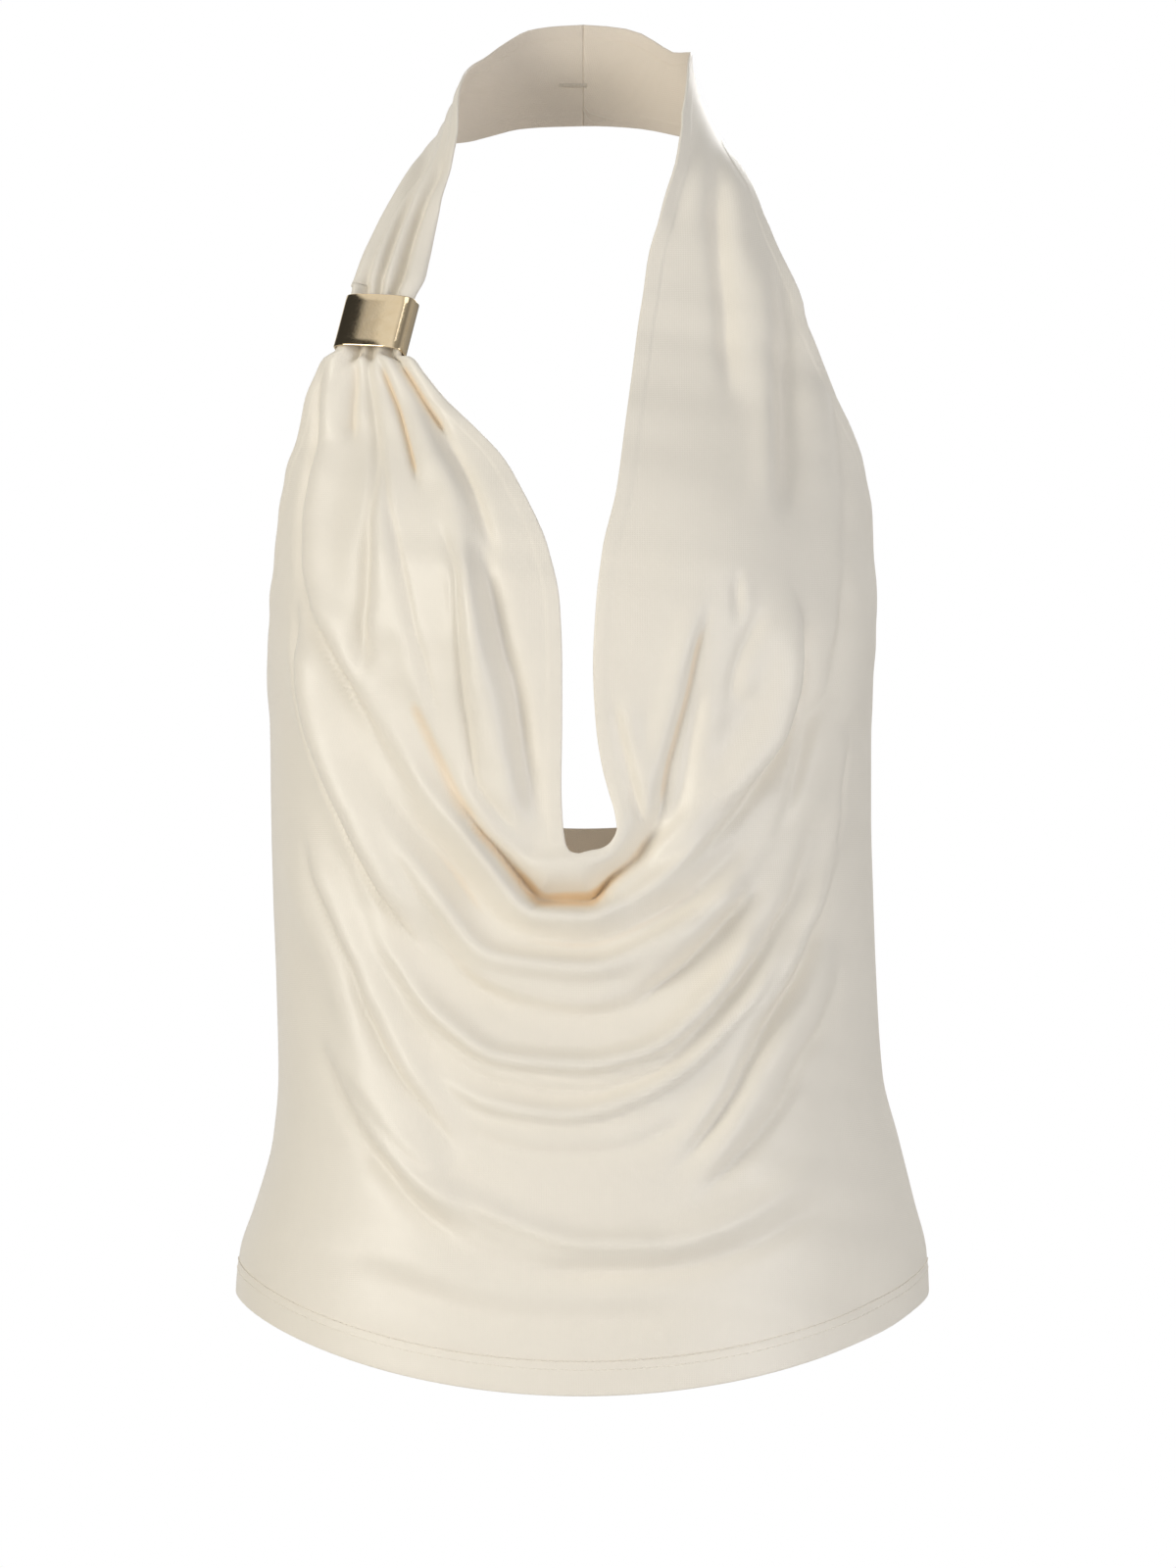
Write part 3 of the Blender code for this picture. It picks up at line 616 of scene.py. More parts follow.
# pleats: share by the collar, at the ring's top and at the ring's foot
PLEATS = ((.34, .34, .14), (.58, .6, .45), (.8, .82, .68))
PLEAT_SHARE_SECTIONS = (-7, -0.2, 1)
PLEAT_DEPTH_SECTIONS = (-9, -5, -1.5, -0.2, 1.2, 2, 3.2, 4.5)
PLEAT_DEPTHS = (0, 1.2, 3, 7, 7, 3, 1, 0)
PLEAT_WIDTH = 3.4


def pleats(section, share, length):
    depth = smooth(PLEAT_DEPTH_SECTIONS, PLEAT_DEPTHS, section)
    out = np.zeros(np.shape(share))
    for shares in PLEATS:
        off_centre = (share - smooth(PLEAT_SHARE_SECTIONS, shares, section)) * length
        out -= depth * fold(off_centre, PLEAT_WIDTH, PLEAT_WIDTH)
    return out


def bunch(share):
    """Rounded top of the gathered cloth that fills the ring."""
    side = np.abs(np.clip(2 * share - 1, -1, 1))
    return BUNCH_RISE * (1 - side ** RING_SQUARENESS) ** (1 / RING_SQUARENESS)


def inside_ring(section, share):
    run = smooth(RUN_SECTIONS, RING_RUN, section)[..., None]
    across = (share - 0.5)[..., None] * BUNCH_WIDTH
    out = (bunch(share) + pleats(section, share, BUNCH_WIDTH))[..., None]
    return RING_CENTRE + run * RING_ALONG + across * RING_ACROSS + out * RING_OUT


print("Ring centre in mm:", RING_CENTRE.round(1))

# %% [markdown]
# Worn jersey is never quite smooth between its folds. A handful of long, shallow waves, nearly level,
# gives it that life. Together they are seldom more than half a millimetre high. They fade out on the
# way to the side seams, where front and back have to meet, and they are the same in every run.

# %% Small waves and the whole front surface
WAVE_COUNT = 16
WAVE_HEIGHT = 0.07
WAVE_LENGTHS_ALONG = (90, 260)
WAVE_LENGTHS_ACROSS = (16, 46)
WAVE_SEED = 11


def small_waves(run, across):
    """Shallow waves, long along the swags and short across them (mm)."""
    dice = np.random.default_rng(WAVE_SEED)
    out = np.zeros(np.shape(across))
    for _ in range(WAVE_COUNT):
        long_way, short_way = dice.uniform(*WAVE_LENGTHS_ALONG), dice.uniform(*WAVE_LENGTHS_ACROSS)
        phase = dice.uniform(0, 2 * math.pi)
        out += np.sin(2 * math.pi * (run / long_way + across / short_way) + phase)
    return out * WAVE_HEIGHT


# millimetres round the figure for one degree
DEGREE_ROUND = 2.6

# sections from the ring's middle: its edge, where the cloth runs free, where its lift has gone
RING_EDGE = 0.5
FREE_FROM_RING = 1.3
LIFT_GONE = 4


def front_relief(turn, height):
    """All that lifts the front's cloth off the figure, away from the ring (mm)."""
    waves = small_waves(turn * DEGREE_ROUND, height)
    waves = waves * (1 - ease(np.abs(turn), FIRST_FADING_TURN, LAST_FOLD_TURN))
    return relief(turn, height) + creases(turn, height)[0] + waves


def front_surface(section, share):
    """Middle of the front's cloth (mm)."""
    section, share = np.broadcast_arrays(np.asarray(section, float), np.asarray(share, float))
    turn, height = across_section(section, share)
    from_ring = np.abs(section - IN_THE_RING)
    out = front_relief(turn, height) + pleats(section, share, length_across(section))
    out = out + (RING_LIFT + bunch(share)) * (1 - ease(from_ring, RING_EDGE, LIFT_GONE))
    normal = figure_normal(turn, height)
    loose = figure_point(turn, height) + normal * (WALL / 2 + out)[..., None]
    held = 1 - ease(from_ring, RING_EDGE, FREE_FROM_RING)
    return loose + (inside_ring(section, share) - loose) * held[..., None]


whole_way = np.linspace(SECTIONS[0], SECTIONS[-1], 571)
run = figure_point(*across_section(whole_way, np.full(whole_way.shape, 0.5)))
print("Front's run in mm:", round(np.linalg.norm(np.diff(run, axis=0), axis=1).sum()))

# %% [markdown]
# ## From a surface to a wall of cloth
# Cloth has two faces and a rounded, turned edge. Blender's Solidify modifier would leave a square
# edge, so the wall is made here: an outer and an inner grid that share their border, with the
# thickness growing from it in a quarter circle. The outer face gets the first finish, the inner face
# the second. Two measures go along for the finishes: where each point lies on the cloth in
# millimetres, and how deep it lies in a fold.

# %% A closed wall of cloth


def new_piece(name, points, faces):
    """A smooth mesh object from points in millimetres."""
    mesh = bpy.data.meshes.new(name)
    mesh.from_pydata((points.reshape(-1, 3) * MM).tolist(), [], faces)
    mesh.shade_smooth()
    made = bpy.data.objects.new(name, mesh)
    bpy.context.scene.collection.objects.link(made)
    return made


def way_from_border(points, axis):
    """Distance of each grid point to the nearer end of its line (mm)."""
    step = np.linalg.norm(np.diff(points, axis=axis), axis=-1)
    ran = np.insert(np.cumsum(step, axis=axis), 0, 0, axis=axis)
    whole = np.take(ran, [-1], axis=axis)
    return np.minimum(ran, whole - ran)


def cloth_wall(name, points, thickness, cloth_place, fold_depth):
    along, across = points.shape[:2]
    normal = unit(np.cross(np.gradient(points, axis=1), np.gradient(points, axis=0)))
    near_edge = np.minimum(way_from_border(points, 0), way_from_border(points, 1))
    rounding = 1 - np.clip(near_edge / (thickness / 2), 0, 1)
    half = (thickness / 2 * np.sqrt(1 - rounding ** 2))[..., None]
    outer = (points + normal * half).reshape(-1, 3)
    inside = np.zeros((along, across), bool)
    inside[1:-1, 1:-1] = True
    inner = (points - normal * half)[inside]
    outer_index = np.arange(along * across).reshape(along, across)
    inner_index = outer_index.copy()
    inner_index[inside] = along * across + np.arange(len(inner))
    faces = []
    for index, order in ((outer_index, (0, 1, 2, 3)), (inner_index, (3, 2, 1, 0))):
        corners = (index[:-1, :-1], index[:-1, 1:], index[1:, 1:], index[1:, :-1])
        faces.append(np.stack([corners[at].ravel() for at in order], axis=1))
    made = new_piece(name, np.concatenate([outer, inner]), np.concatenate(faces).tolist())
    mesh = made.data
    sides = np.repeat([0, 1], len(faces[0])).astype(np.int32)
    mesh.polygons.foreach_set("material_index", sides)
    place = mesh.attributes.new("cloth_place", "FLOAT_VECTOR", "POINT")
    both = np.concatenate([cloth_place.reshape(-1, 3), cloth_place[inside]])
    place.data.foreach_set("vector", both.astype(np.float32).ravel())
    depth = mesh.attributes.new("fold_depth", "FLOAT", "POINT")
    both = np.concatenate([fold_depth.ravel(), fold_depth[inside]])
    depth.data.foreach_set("value", both.astype(np.float32))
    print(name, "has", len(mesh.polygons), "faces")
    return made


# %% [markdown]
# ## The front, in one piece of cloth
# Its columns are closest where the folds turn fastest, and every corner of the outline is a column of
# its own. Two extra rows near each edge hold the rounding of the edge. The cloth is 0.9 mm thick to
# the eye, and 1.5 mm where it is turned in: along the neckline, the armholes and the hem.

# %% Columns and rows of the front
# sections, and the way from column to column there (mm)
STEP_SECTIONS = (-12, -6, -1, -0.3, 1.5, 3, 6, 9, 12, 15, 17.5, 20, 23, 26, 29, 37, 46)
STEPS = (6, 3, 2.2, 1.8, 1.8, 2.4, 2.9, 3.1, 3.1, 2.6, 2.2, 2.6, 3.0, 3.4, 6, 7, 8)
CORNERS = (10, 15, 20, 25)
FRONT_ROWS = 130
ROW_POWER = 1.2
STRAP_ROWS = 70

# sections between which the rows start to crowd, and are spread again
CROWDING_STARTS = (2, 9)
CROWDING_ENDS = (22, 26)
SECTIONS_PER_MM = 0.07
MEASURED_SHARE = 0.55
MEASURED_PLACES = 400

# ways from the cloth's edge to its two extra rows (mm)
EDGE_STEPS = np.array([0.12, 0.4])


def steps_along(first, last):
    """Sections of the columns: at every corner, and at the table's steps between."""
    stops = [first] + [corner for corner in CORNERS if first < corner < last] + [last]
    columns = [first]
    for start, stop in zip(stops[:-1], stops[1:]):
        fine = np.linspace(start, stop, MEASURED_PLACES)
        points = figure_point(*across_section(fine, np.full(MEASURED_PLACES, MEASURED_SHARE)))
        ran = np.linalg.norm(np.diff(points, axis=0), axis=1)
        step = np.interp((fine[1:] + fine[:-1]) / 2, STEP_SECTIONS, STEPS)
        count = np.concatenate([[0], np.cumsum(ran / step)])
        whole = max(1, round(count[-1]))
        columns.extend(np.interp(np.linspace(0, count[-1], whole + 1)[1:], count, fine))
    return np.array(columns)


def with_edge_steps(values, per_mm):
    """Adds two values close to each end, for the rounding of the cloth's edge."""
    near = values[0] + EDGE_STEPS * per_mm
    far = values[-1] - EDGE_STEPS[::-1] * per_mm
    middle = values[0] + (values - values[0]) * (1 - 2 * per_mm / (values[-1] - values[0])) + per_mm
    return np.concatenate([values[:1], near, middle, far, values[-1:]])


def shares_of_rows(section, count):
    """Shares of the rows at one section: even on the straps, closer near the cowl's neckline."""
    crowding = (ROW_POWER - 1) * ease(section, *CROWDING_STARTS)
    crowding = crowding * (1 - ease(section, *CROWDING_ENDS))
    rows = np.linspace(0, 1, count) ** (1 + crowding)
    return with_edge_steps(rows, 1 / length_across(section))


def front_grid(first, last, rows):
    sections = with_edge_steps(steps_along(first, last), SECTIONS_PER_MM)
    shares = np.stack([shares_of_rows(at, rows) for at in sections])
    print("Grid of the front's cloth:", shares.shape)
    return sections[:, None], shares


# %% [markdown]
# The depth of a fold is the height of the cloth around a point above the point itself. In a deep fold
# light bounces from cream cloth to cream cloth and comes out warm; the finish paints that warm light
# into the cloth's colour by this depth, and a crease's painted warmth counts as depth too.

# %% The front piece and its gathered strap
CLOTH_THICK = 0.9
TURNED_IN = 0.6
EDGE_TURN_IN = 7.0
EDGE_SLOPE = 1.0
HEM_TURN_IN = 15.0
HEM_SLOPE = 1.5
LAST_FRONT_TURN = 90.5
NEAR_BY = 9.0
# depth in a fold where the painted warm light is full (mm)
FULL_PAINTED_GLOW = 11.0

# between these sections the outer edge is a side seam or the hem, and has no armhole's turning
FIRST_SEWN, LAST_SEWN = 10, 25
SEWN_CHANGE = 0.5


def around_figure(turn, height):
    """Distance round the figure from centre front (mm)."""
    part = np.linspace(0, 1, 25)
    line = figure_point(turn[..., None] * part, height[..., None] + 0 * part)
    way = np.linalg.norm(np.diff(line, axis=-2), axis=-1).sum(axis=-1)
    return way * np.sign(turn)


def depth_in_fold(section, share):
    length = length_across(section)
    painted_warmth = creases(*across_section(section, share))[1]
    levels = []
    for step in (0, NEAR_BY, -NEAR_BY):
        at = np.clip(share + step / length, 0, 1)
        levels.append(relief(*across_section(section, at)) + pleats(section, at, length))
    return np.maximum(np.clip((levels[1] + levels[2]) / 2 - levels[0], 0, None), painted_warmth * FULL_PAINTED_GLOW)


def turned_edge(way):
    """1 where the cloth is doubled along an edge, 0 further in."""
    return 1 - ease(way, EDGE_TURN_IN - EDGE_SLOPE, EDGE_TURN_IN)


def turned_hem(way):
    return 1 - ease(way, HEM_TURN_IN - HEM_SLOPE, HEM_TURN_IN)


def make_front(name, first, last, rows):
    section, share = np.broadcast_arrays(*front_grid(first, last, rows))
    turn, height = across_section(section, share)
    above_hem = np.where(np.abs(turn) < LAST_FRONT_TURN, height - front_hem(turn), HEM_TURN_IN * 2)
    from_edge = np.minimum(share, 1 - share) * length_across(section)
    sewn = ease(section, FIRST_SEWN - SEWN_CHANGE, FIRST_SEWN) * (share > 0.5)
    sewn = sewn * (1 - ease(section, LAST_SEWN, LAST_SEWN + SEWN_CHANGE))
    turned = np.maximum(turned_edge(from_edge) * (1 - sewn), turned_hem(above_hem))
    thickness = CLOTH_THICK + TURNED_IN * turned
    place = np.stack([around_figure(turn, height), height, 0 * height], axis=-1)
    points = front_surface(section, share)
    return cloth_wall(name, points, thickness, place, depth_in_fold(section, share))


gathered_strap = make_front("gathered_strap", float(SECTIONS[0]), IN_THE_RING, STRAP_ROWS)
halter_front = make_front("halter_front", IN_THE_RING, float(SECTIONS[-1]), FRONT_ROWS)

# %% [markdown]
# ## The back
# The low back panel is held by the side seams and stretched lightly over the waist. Its top edge dips
# from the underarms to the middle of the back. The few folds it has are drag lines at the waist, soft
# and nearly level.

# %% The back piece
BACK_TOP_RING_SIDE = -318.0
BACK_TOP_PLAIN_SIDE = -330.0
BACK_TOP_CENTRE = -368.0
BACK_TOP_ROUNDNESS = 1.6
BACK_HEM_DROP = 5.0
BACK_COLUMNS = 150
BACK_ROWS = 84
BACK_LENGTH = 240
BACK_WAVES_FULL = 0.4
DEGREES_PER_MM = 0.4

# height at centre back, rise or depth, width, lift towards the sides, middle's turn, reach in degrees
BACK_FOLDS = (
    (-408, -2.4, 7, 18, 218, 38),
    (-424, 2.2, 7, 15, 150, 34),
    (-443, -3, 8, 10, 192, 52),
    (-460, 2, 7, 6, 222, 30),
    (-475, -2.4, 8, 0, 158, 40),
    (-500, 1.6, 9, -6, 204, 45),
    (-532, -1.4, 11, -12, 168, 50),
)


def back_edges(turn):
    towards_back = np.clip(-np.cos(np.radians(turn)), 0, 1)
    side_top = np.where(turn < 180, BACK_TOP_PLAIN_SIDE, BACK_TOP_RING_SIDE)
    top = side_top + (BACK_TOP_CENTRE - side_top) * towards_back ** BACK_TOP_ROUNDNESS
    return towards_back, top, HEM_SIDE - BACK_HEM_DROP * towards_back ** 2


def back_relief(turn, height):
    towards_back = back_edges(turn)[0]
    out = small_waves(turn * DEGREE_ROUND, height) * ease(towards_back, 0, BACK_WAVES_FULL)
    for at, rise, width, lift, middle, reach in BACK_FOLDS:
        off_centre = height - (at + lift * (1 - towards_back))
        held = towards_back * np.exp(-((turn - middle) / reach) ** 2)
        out += rise * held * np.exp(-(off_centre / width) ** 2)
    return out


def back_surface(turn, height):
    out = WALL / 2 + back_relief(turn, height)
    return figure_point(turn, height) + figure_normal(turn, height) * out[..., None]


def make_back():
    turn = with_edge_steps(np.linspace(90, 270, BACK_COLUMNS), DEGREES_PER_MM)[:, None]
    row = with_edge_steps(np.linspace(0, 1, BACK_ROWS), 1 / BACK_LENGTH)[None, :]
    _, top, hem = back_edges(turn)
    turn, height = np.broadcast_arrays(turn, top + (hem - top) * row)
    turned = np.maximum(turned_hem(height - hem), turned_edge(top - height))
    place = np.stack([around_figure(turn - 360, height), height, 0 * height], axis=-1)
    return cloth_wall("low_back", back_surface(turn, height), CLOTH_THICK + TURNED_IN * turned,
                      place, 0 * height)


low_back = make_back()

# %% [markdown]
# ## The ring
# It is a flattened tube of cast or drawn zinc alloy, plated a light gold. Its rims are rounded by
# tumbling before the plating, so each rim catches a thin bright line. The wall's section, a long
# rounded bar, is carried round a flattened oval.

# %% The ring piece
RIM_RADIUS = 0.5
RIM_POINTS = 7
SIDE_POINTS = 7
RING_POINTS = 168


def ring_section():
    """Inset from the outside, and place along the ring, of one loop round its wall (mm)."""
    half_high = RING_HEIGHT / 2 - RIM_RADIUS
    turn = np.linspace(0, math.pi, RIM_POINTS)
    rim_inset = RIM_RADIUS - RIM_RADIUS * np.cos(turn)
    rim_run = RIM_RADIUS * np.sin(turn)
    side = np.linspace(-half_high, half_high, SIDE_POINTS + 2)[1:-1]
    inner_side, outer_side = np.full(SIDE_POINTS, RING_WALL), np.zeros(SIDE_POINTS)
    inset = np.concatenate([rim_inset, inner_side, rim_inset[::-1], outer_side])
    run = np.concatenate([half_high + rim_run, side[::-1], -half_high - rim_run, side])
    return inset, run


def make_ring():
    inset, run = ring_section()
    angle = np.linspace(0, 2 * math.pi, RING_POINTS, endpoint=False)
    power = 2 / RING_SQUARENESS
    across = (np.sign(np.cos(angle)) * np.abs(np.cos(angle)) ** power)[:, None]
    deep = (np.sign(np.sin(angle)) * np.abs(np.sin(angle)) ** power)[:, None]
    points = RING_CENTRE + run[None, :, None] * RING_ALONG
    points = points + ((RING_WIDTH / 2 - inset) * across)[..., None] * RING_ACROSS
    points = points + ((RING_DEPTH / 2 - inset) * deep)[..., None] * RING_OUT
    around, loop = points.shape[:2]
    faces = []
    for i in range(around):
        for j in range(loop):
            after, above = (i + 1) % around, (j + 1) % loop
            faces.append([i * loop + j, i * loop + above, after * loop + above, after * loop + j])
    print("gold_ring has", len(faces), "faces")
    return new_piece("gold_ring", points, faces)


gold_ring = make_ring()

# %% [markdown]
# ## The sewing
# A coverstitch holds a turned hem of jersey down and still stretches. Its face shows two rows of
# straight stitches, 4 mm apart. Each stitch dives into the cloth at both ends, so it is made as a
# short bent thread.

# %% Threads of the hems
THREAD_RADIUS = 0.19
THREAD_SIDES = 6
STITCH_LENGTH = 2.6
STITCH_GAP = 0.7
STITCH_ROWS = (12.0, 16.0)
STITCH_POINTS = 5
HEM_PLACES = 1500
TURNED_FACE = (CLOTH_THICK + TURNED_IN) / 2

# in thread radii: how high a stitch arches, and how deep its ends dive
STITCH_ARCH = 1.6
HEM_DIVE = 0.9


def make_threads(name, lines, level):
    """Round threads along lines of points (mm): lines x points x 3; level is a way across them."""
    along = unit(np.gradient(lines, axis=1))
    side = unit(np.cross(along, level))
    up = np.cross(side, along)
    vertices = []
    faces = []
    for angle in np.linspace(0, 2 * math.pi, THREAD_SIDES, endpoint=False):
        vertices.append(lines + THREAD_RADIUS * (math.cos(angle) * side + math.sin(angle) * up))
    vertices = np.stack(vertices, axis=2)
    count, points = lines.shape[:2]
    for line in range(count):
        first = line * points * THREAD_SIDES
        last = first + (points - 1) * THREAD_SIDES
        for start in range(first, last, THREAD_SIDES):
            for at in range(THREAD_SIDES):
                after = (at + 1) % THREAD_SIDES
                low, high = start, start + THREAD_SIDES
                faces.append((low + at, low + after, high + after, high + at))
        faces.append(tuple(range(first, first + THREAD_SIDES))[::-1])
        faces.append(tuple(range(last, last + THREAD_SIDES)))
    print(name, "has", count, "threads")
    return new_piece(name, vertices, faces)


def hem_stitches(name, turns, hem_height, relief_of):
    """Two rows of straight stitches on the face of a hem."""
    lines = []
    for row in STITCH_ROWS:
        fine = np.linspace(*turns, HEM_PLACES)
        place = figure_point(fine, hem_height(fine) + row)
        ran = np.insert(np.cumsum(np.linalg.norm(np.diff(place, axis=0), axis=1)), 0, 0)
        starts = np.arange(0, ran[-1] - STITCH_LENGTH, STITCH_LENGTH + STITCH_GAP)
        inside = np.linspace(0, 1, STITCH_POINTS)
        turn = np.interp(starts[:, None] + STITCH_LENGTH * inside[None, :], ran, fine)
        height = hem_height(turn) + row
        arch = THREAD_RADIUS * (STITCH_ARCH * np.sin(math.pi * inside) - HEM_DIVE)
        out = WALL / 2 + relief_of(turn, height) + TURNED_FACE + arch
        lines.append(figure_point(turn, height) + figure_normal(turn, height) * out[..., None])
    return make_threads(name, np.concatenate(lines), np.array([0.0, 0.0, 1.0]))


def back_hem(turn):
    return back_edges(turn)[2]


front_stitches = hem_stitches("front_hem_stitches", (-88, 88), front_hem, front_relief)
back_stitches = hem_stitches("back_hem_stitches", (92, 268), back_hem, back_relief)

# %% [markdown]
# The two halves of the neck band meet in a seam at centre back. On its inner face a bar of upright
# stitches, side by side, holds the seam's allowance down so that it can't rub the neck. Two thread
# ends below it were left uncut. Both use the thread of the hems, laid along lines of their own.

# %% Threads of the band
# the bar: its ends, its middle height and half height (mm), and how deep its stitches dive
BAR_ENDS = (-11.5, 1.3)
BAR_STITCHES = 20
BAR_MIDDLE = -5.3
BAR_HALF = 0.9
BAR_DIVE = 0.6

# two uncut ends at the foot of the seam: x and height
LOOSE_ENDS = (((0.5, -15), (3, -18.5), (8, -20), (14, -21.5), (19, -23)),
              ((0, -17), (2, -21), (4.5, -23), (8, -23.5), (11, -22)))


def inside_band(x, height, off):
    """A place on the inner face of the band behind the neck (mm)."""
    turn = 180 - np.degrees(np.arcsin(x / half_width(x, height)))
    inward = WALL / 2 - TURNED_FACE - off
    return figure_point(turn, height) + figure_normal(turn, height) * inward[..., None]


bar_x = np.linspace(*BAR_ENDS, BAR_STITCHES)[:, None] + np.zeros(STITCH_POINTS)
bar_height = BAR_MIDDLE + np.linspace(-BAR_HALF, BAR_HALF, STITCH_POINTS) + np.zeros(bar_x.shape)
bar_arch = STITCH_ARCH * np.sin(np.linspace(0, math.pi, STITCH_POINTS)) - BAR_DIVE
bar_lines = inside_band(bar_x, bar_height, THREAD_RADIUS * bar_arch + np.zeros(bar_x.shape))
band_bar = make_threads("band_bar", bar_lines, np.array([1.0, 0.0, 0.0]))
loose = np.array(LOOSE_ENDS, float)
end_lines = inside_band(loose[..., 0], loose[..., 1], np.full(loose.shape[:2], THREAD_RADIUS))
thread_ends = make_threads("thread_ends", end_lines, np.array([0.1, 1.0, 0.0]))

# %% [markdown]
# ## Colours and nodes
# Colours are written as sRGB hex values, the way a dye chart or a picture gives them, and turned to
# linear light once. One function adds a node, sets its plain values and links the rest.

# %% Colour and node helpers


def linear(hex_colour):
    channels = [int(hex_colour[i:i + 2], 16) / 255 for i in (1, 3, 5)]
    return (*[((c + 0.055) / 1.055) ** 2.4 if c > 0.04045 else c / 12.92 for c in channels], 1.0)


def add_node(tree, kind, inputs=None, **settings):
    """A new node with its settings; an input is a value to set or a socket to link from."""
    node = tree.nodes.new(kind)
    for name, value in settings.items():
        setattr(node, name, value)
    for socket, value in (inputs or {}).items():
        if isinstance(value, bpy.types.NodeSocket):
            tree.links.new(value, node.inputs[socket])
        else:
            node.inputs[socket].default_value = value
    return node


def new_finish(name, **values):
    """A material and its Principled shader, with values set on the shader's own sockets."""
    finish = bpy.data.materials.new(name)
    finish.use_nodes = True
    shader = finish.node_tree.nodes["Principled BSDF"]
    for socket, value in values.items():
        shader.inputs[socket.replace("_", " ")].default_value = value
    return finish, finish.node_tree, shader


print("Cream in linear light:", [round(value, 3) for value in linear("#EDE6D8")[:3]])

# %% [markdown]
# ## Satin-faced jersey
# The cloth is a fine weft knit of smooth filament yarn with some elastane. The face shows only the
# smooth legs of its stitches, which lie in wales side by side and give a soft, broad lustre. The wales
# are 0.45 mm apart on the real cloth; they are drawn 1.1 mm apart here, because finer ones are lost
# between the pixels. The reverse shows the loops' heads, so it is duller and a little darker.

# %% The cloth's face
WALE_SPACING = 1.1
COURSE_SPACING = 0.9
WAVE_PERIOD = 2 * math.pi / 20

# depth in a fold where the painted warm light starts (mm), and the most of it that the colour takes
PAINTED_GLOW_START = 5.0
MOST_PAINTED_GLOW = 0.6


def mottled(tree, place, scale, dark, light, detail=3.0):
    """A colour that wanders between two, the way dye and wear leave it."""
    noise = add_node(tree, "ShaderNodeTexNoise", {"Vector": place, "Scale": scale, "Detail": detail})
    mixed = add_node(tree, "ShaderNodeMix", {
        "Factor": noise.outputs["Fac"], 6: linear(dark), 7: linear(light)}, data_type="RGBA")
    return mixed.outputs[2]


def knit_bump(tree, place, height, strength):
    """Fine wales and courses, as a bump (mm of the cloth place become metres)."""
    wales = add_node(tree, "ShaderNodeTexWave", {
        "Vector": place, "Scale": WAVE_PERIOD / WALE_SPACING, "Distortion": 0.6,
        "Detail": 1.0, "Detail Scale": 0.4}, bands_direction="X")
    courses = add_node(tree, "ShaderNodeTexWave", {
        "Vector": place, "Scale": WAVE_PERIOD / COURSE_SPACING, "Distortion": 0.4,
        "Detail": 1.0, "Detail Scale": 0.4}, bands_direction="Y")
    knit = add_node(tree, "ShaderNodeMath", {
        0: wales.outputs["Fac"], 1: courses.outputs["Fac"]}, operation="MULTIPLY")
    crumple = add_node(tree, "ShaderNodeTexNoise", {
        "Vector": place, "Scale": 0.09, "Detail": 3.0, "Roughness": 0.55})
    soft = add_node(tree, "ShaderNodeBump", {
        "Strength": 0.25, "Distance": 0.6 * MM, "Height": crumple.outputs["Fac"]})
    return add_node(tree, "ShaderNodeBump", {
        "Strength": strength, "Distance": height * MM, "Height": knit.outputs[0],
        "Normal": soft.outputs["Normal"]})


def satin_faced_jersey():
    finish, tree, shader = new_finish(
        "satin_faced_jersey", Roughness=0.42, IOR=1.5, Sheen_Weight=0.25, Sheen_Roughness=0.35,
        Sheen_Tint=linear("#FFF6E6"), Specular_IOR_Level=0.45)
    place = add_node(tree, "ShaderNodeAttribute", attribute_name="cloth_place").outputs["Vector"]
    depth = add_node(tree, "ShaderNodeAttribute", attribute_name="fold_depth").outputs["Fac"]
    # painted light: the warm light bounced inside deep folds, painted into the base colour
    painted_glow = add_node(tree, "ShaderNodeMapRange", {
        "Value": depth, "From Min": PAINTED_GLOW_START, "From Max": FULL_PAINTED_GLOW, "To Max": MOST_PAINTED_GLOW},
        interpolation_type="SMOOTHSTEP")
    cream = mottled(tree, place, 0.02, "#E9E2D4", "#EFE8DA")
    colour = add_node(tree, "ShaderNodeMix", {
        "Factor": painted_glow.outputs["Result"], 6: cream, 7: linear("#EBC48A")}, data_type="RGBA")
    bump = knit_bump(tree, place, 0.12, 0.35)
    tree.links.new(colour.outputs[2], shader.inputs["Base Color"])
    tree.links.new(bump.outputs["Normal"], shader.inputs["Normal"])
    return finish


def jersey_reverse():
    finish, tree, shader = new_finish(
        "jersey_reverse", Roughness=0.75, IOR=1.5, Sheen_Weight=0.35, Sheen_Roughness=0.5,
        Sheen_Tint=linear("#F6EBDA"), Specular_IOR_Level=0.3)
    place = add_node(tree, "ShaderNodeAttribute", attribute_name="cloth_place").outputs["Vector"]
    colour = mottled(tree, place, 0.03, "#DDD2C2", "#E6DBCB")
    bump = knit_bump(tree, place, 0.16, 0.5)
    tree.links.new(colour, shader.inputs["Base Color"])
    tree.links.new(bump.outputs["Normal"], shader.inputs["Normal"])
    return finish


cloth_face = satin_faced_jersey()
cloth_back = jersey_reverse()
for piece in (halter_front, gathered_strap, low_back):
    piece.data.materials.append(cloth_face)
    piece.data.materials.append(cloth_back)
print("Cloth finishes:", cloth_face.name, "and", cloth_back.name)

# %% [markdown]
# ## Sewing thread
# The thread is textured polyester, matched to the cloth but a little lighter and without its lustre.
# Its filaments scatter light, so it is matt, with a faint unevenness of colour along its length.

# %% The threads' finish
threads = (front_stitches, back_stitches, band_bar, thread_ends)


def textured_polyester():
    finish, tree, shader = new_finish(
        "textured_polyester_thread", Roughness=0.7, IOR=1.5, Sheen_Weight=0.3)
    place = add_node(tree, "ShaderNodeTexCoord").outputs["Object"]
    colour = mottled(tree, place, 400.0, "#E4DBCA", "#F3EDE1", detail=2.0)
    tree.links.new(colour, shader.inputs["Base Color"])
    return finish


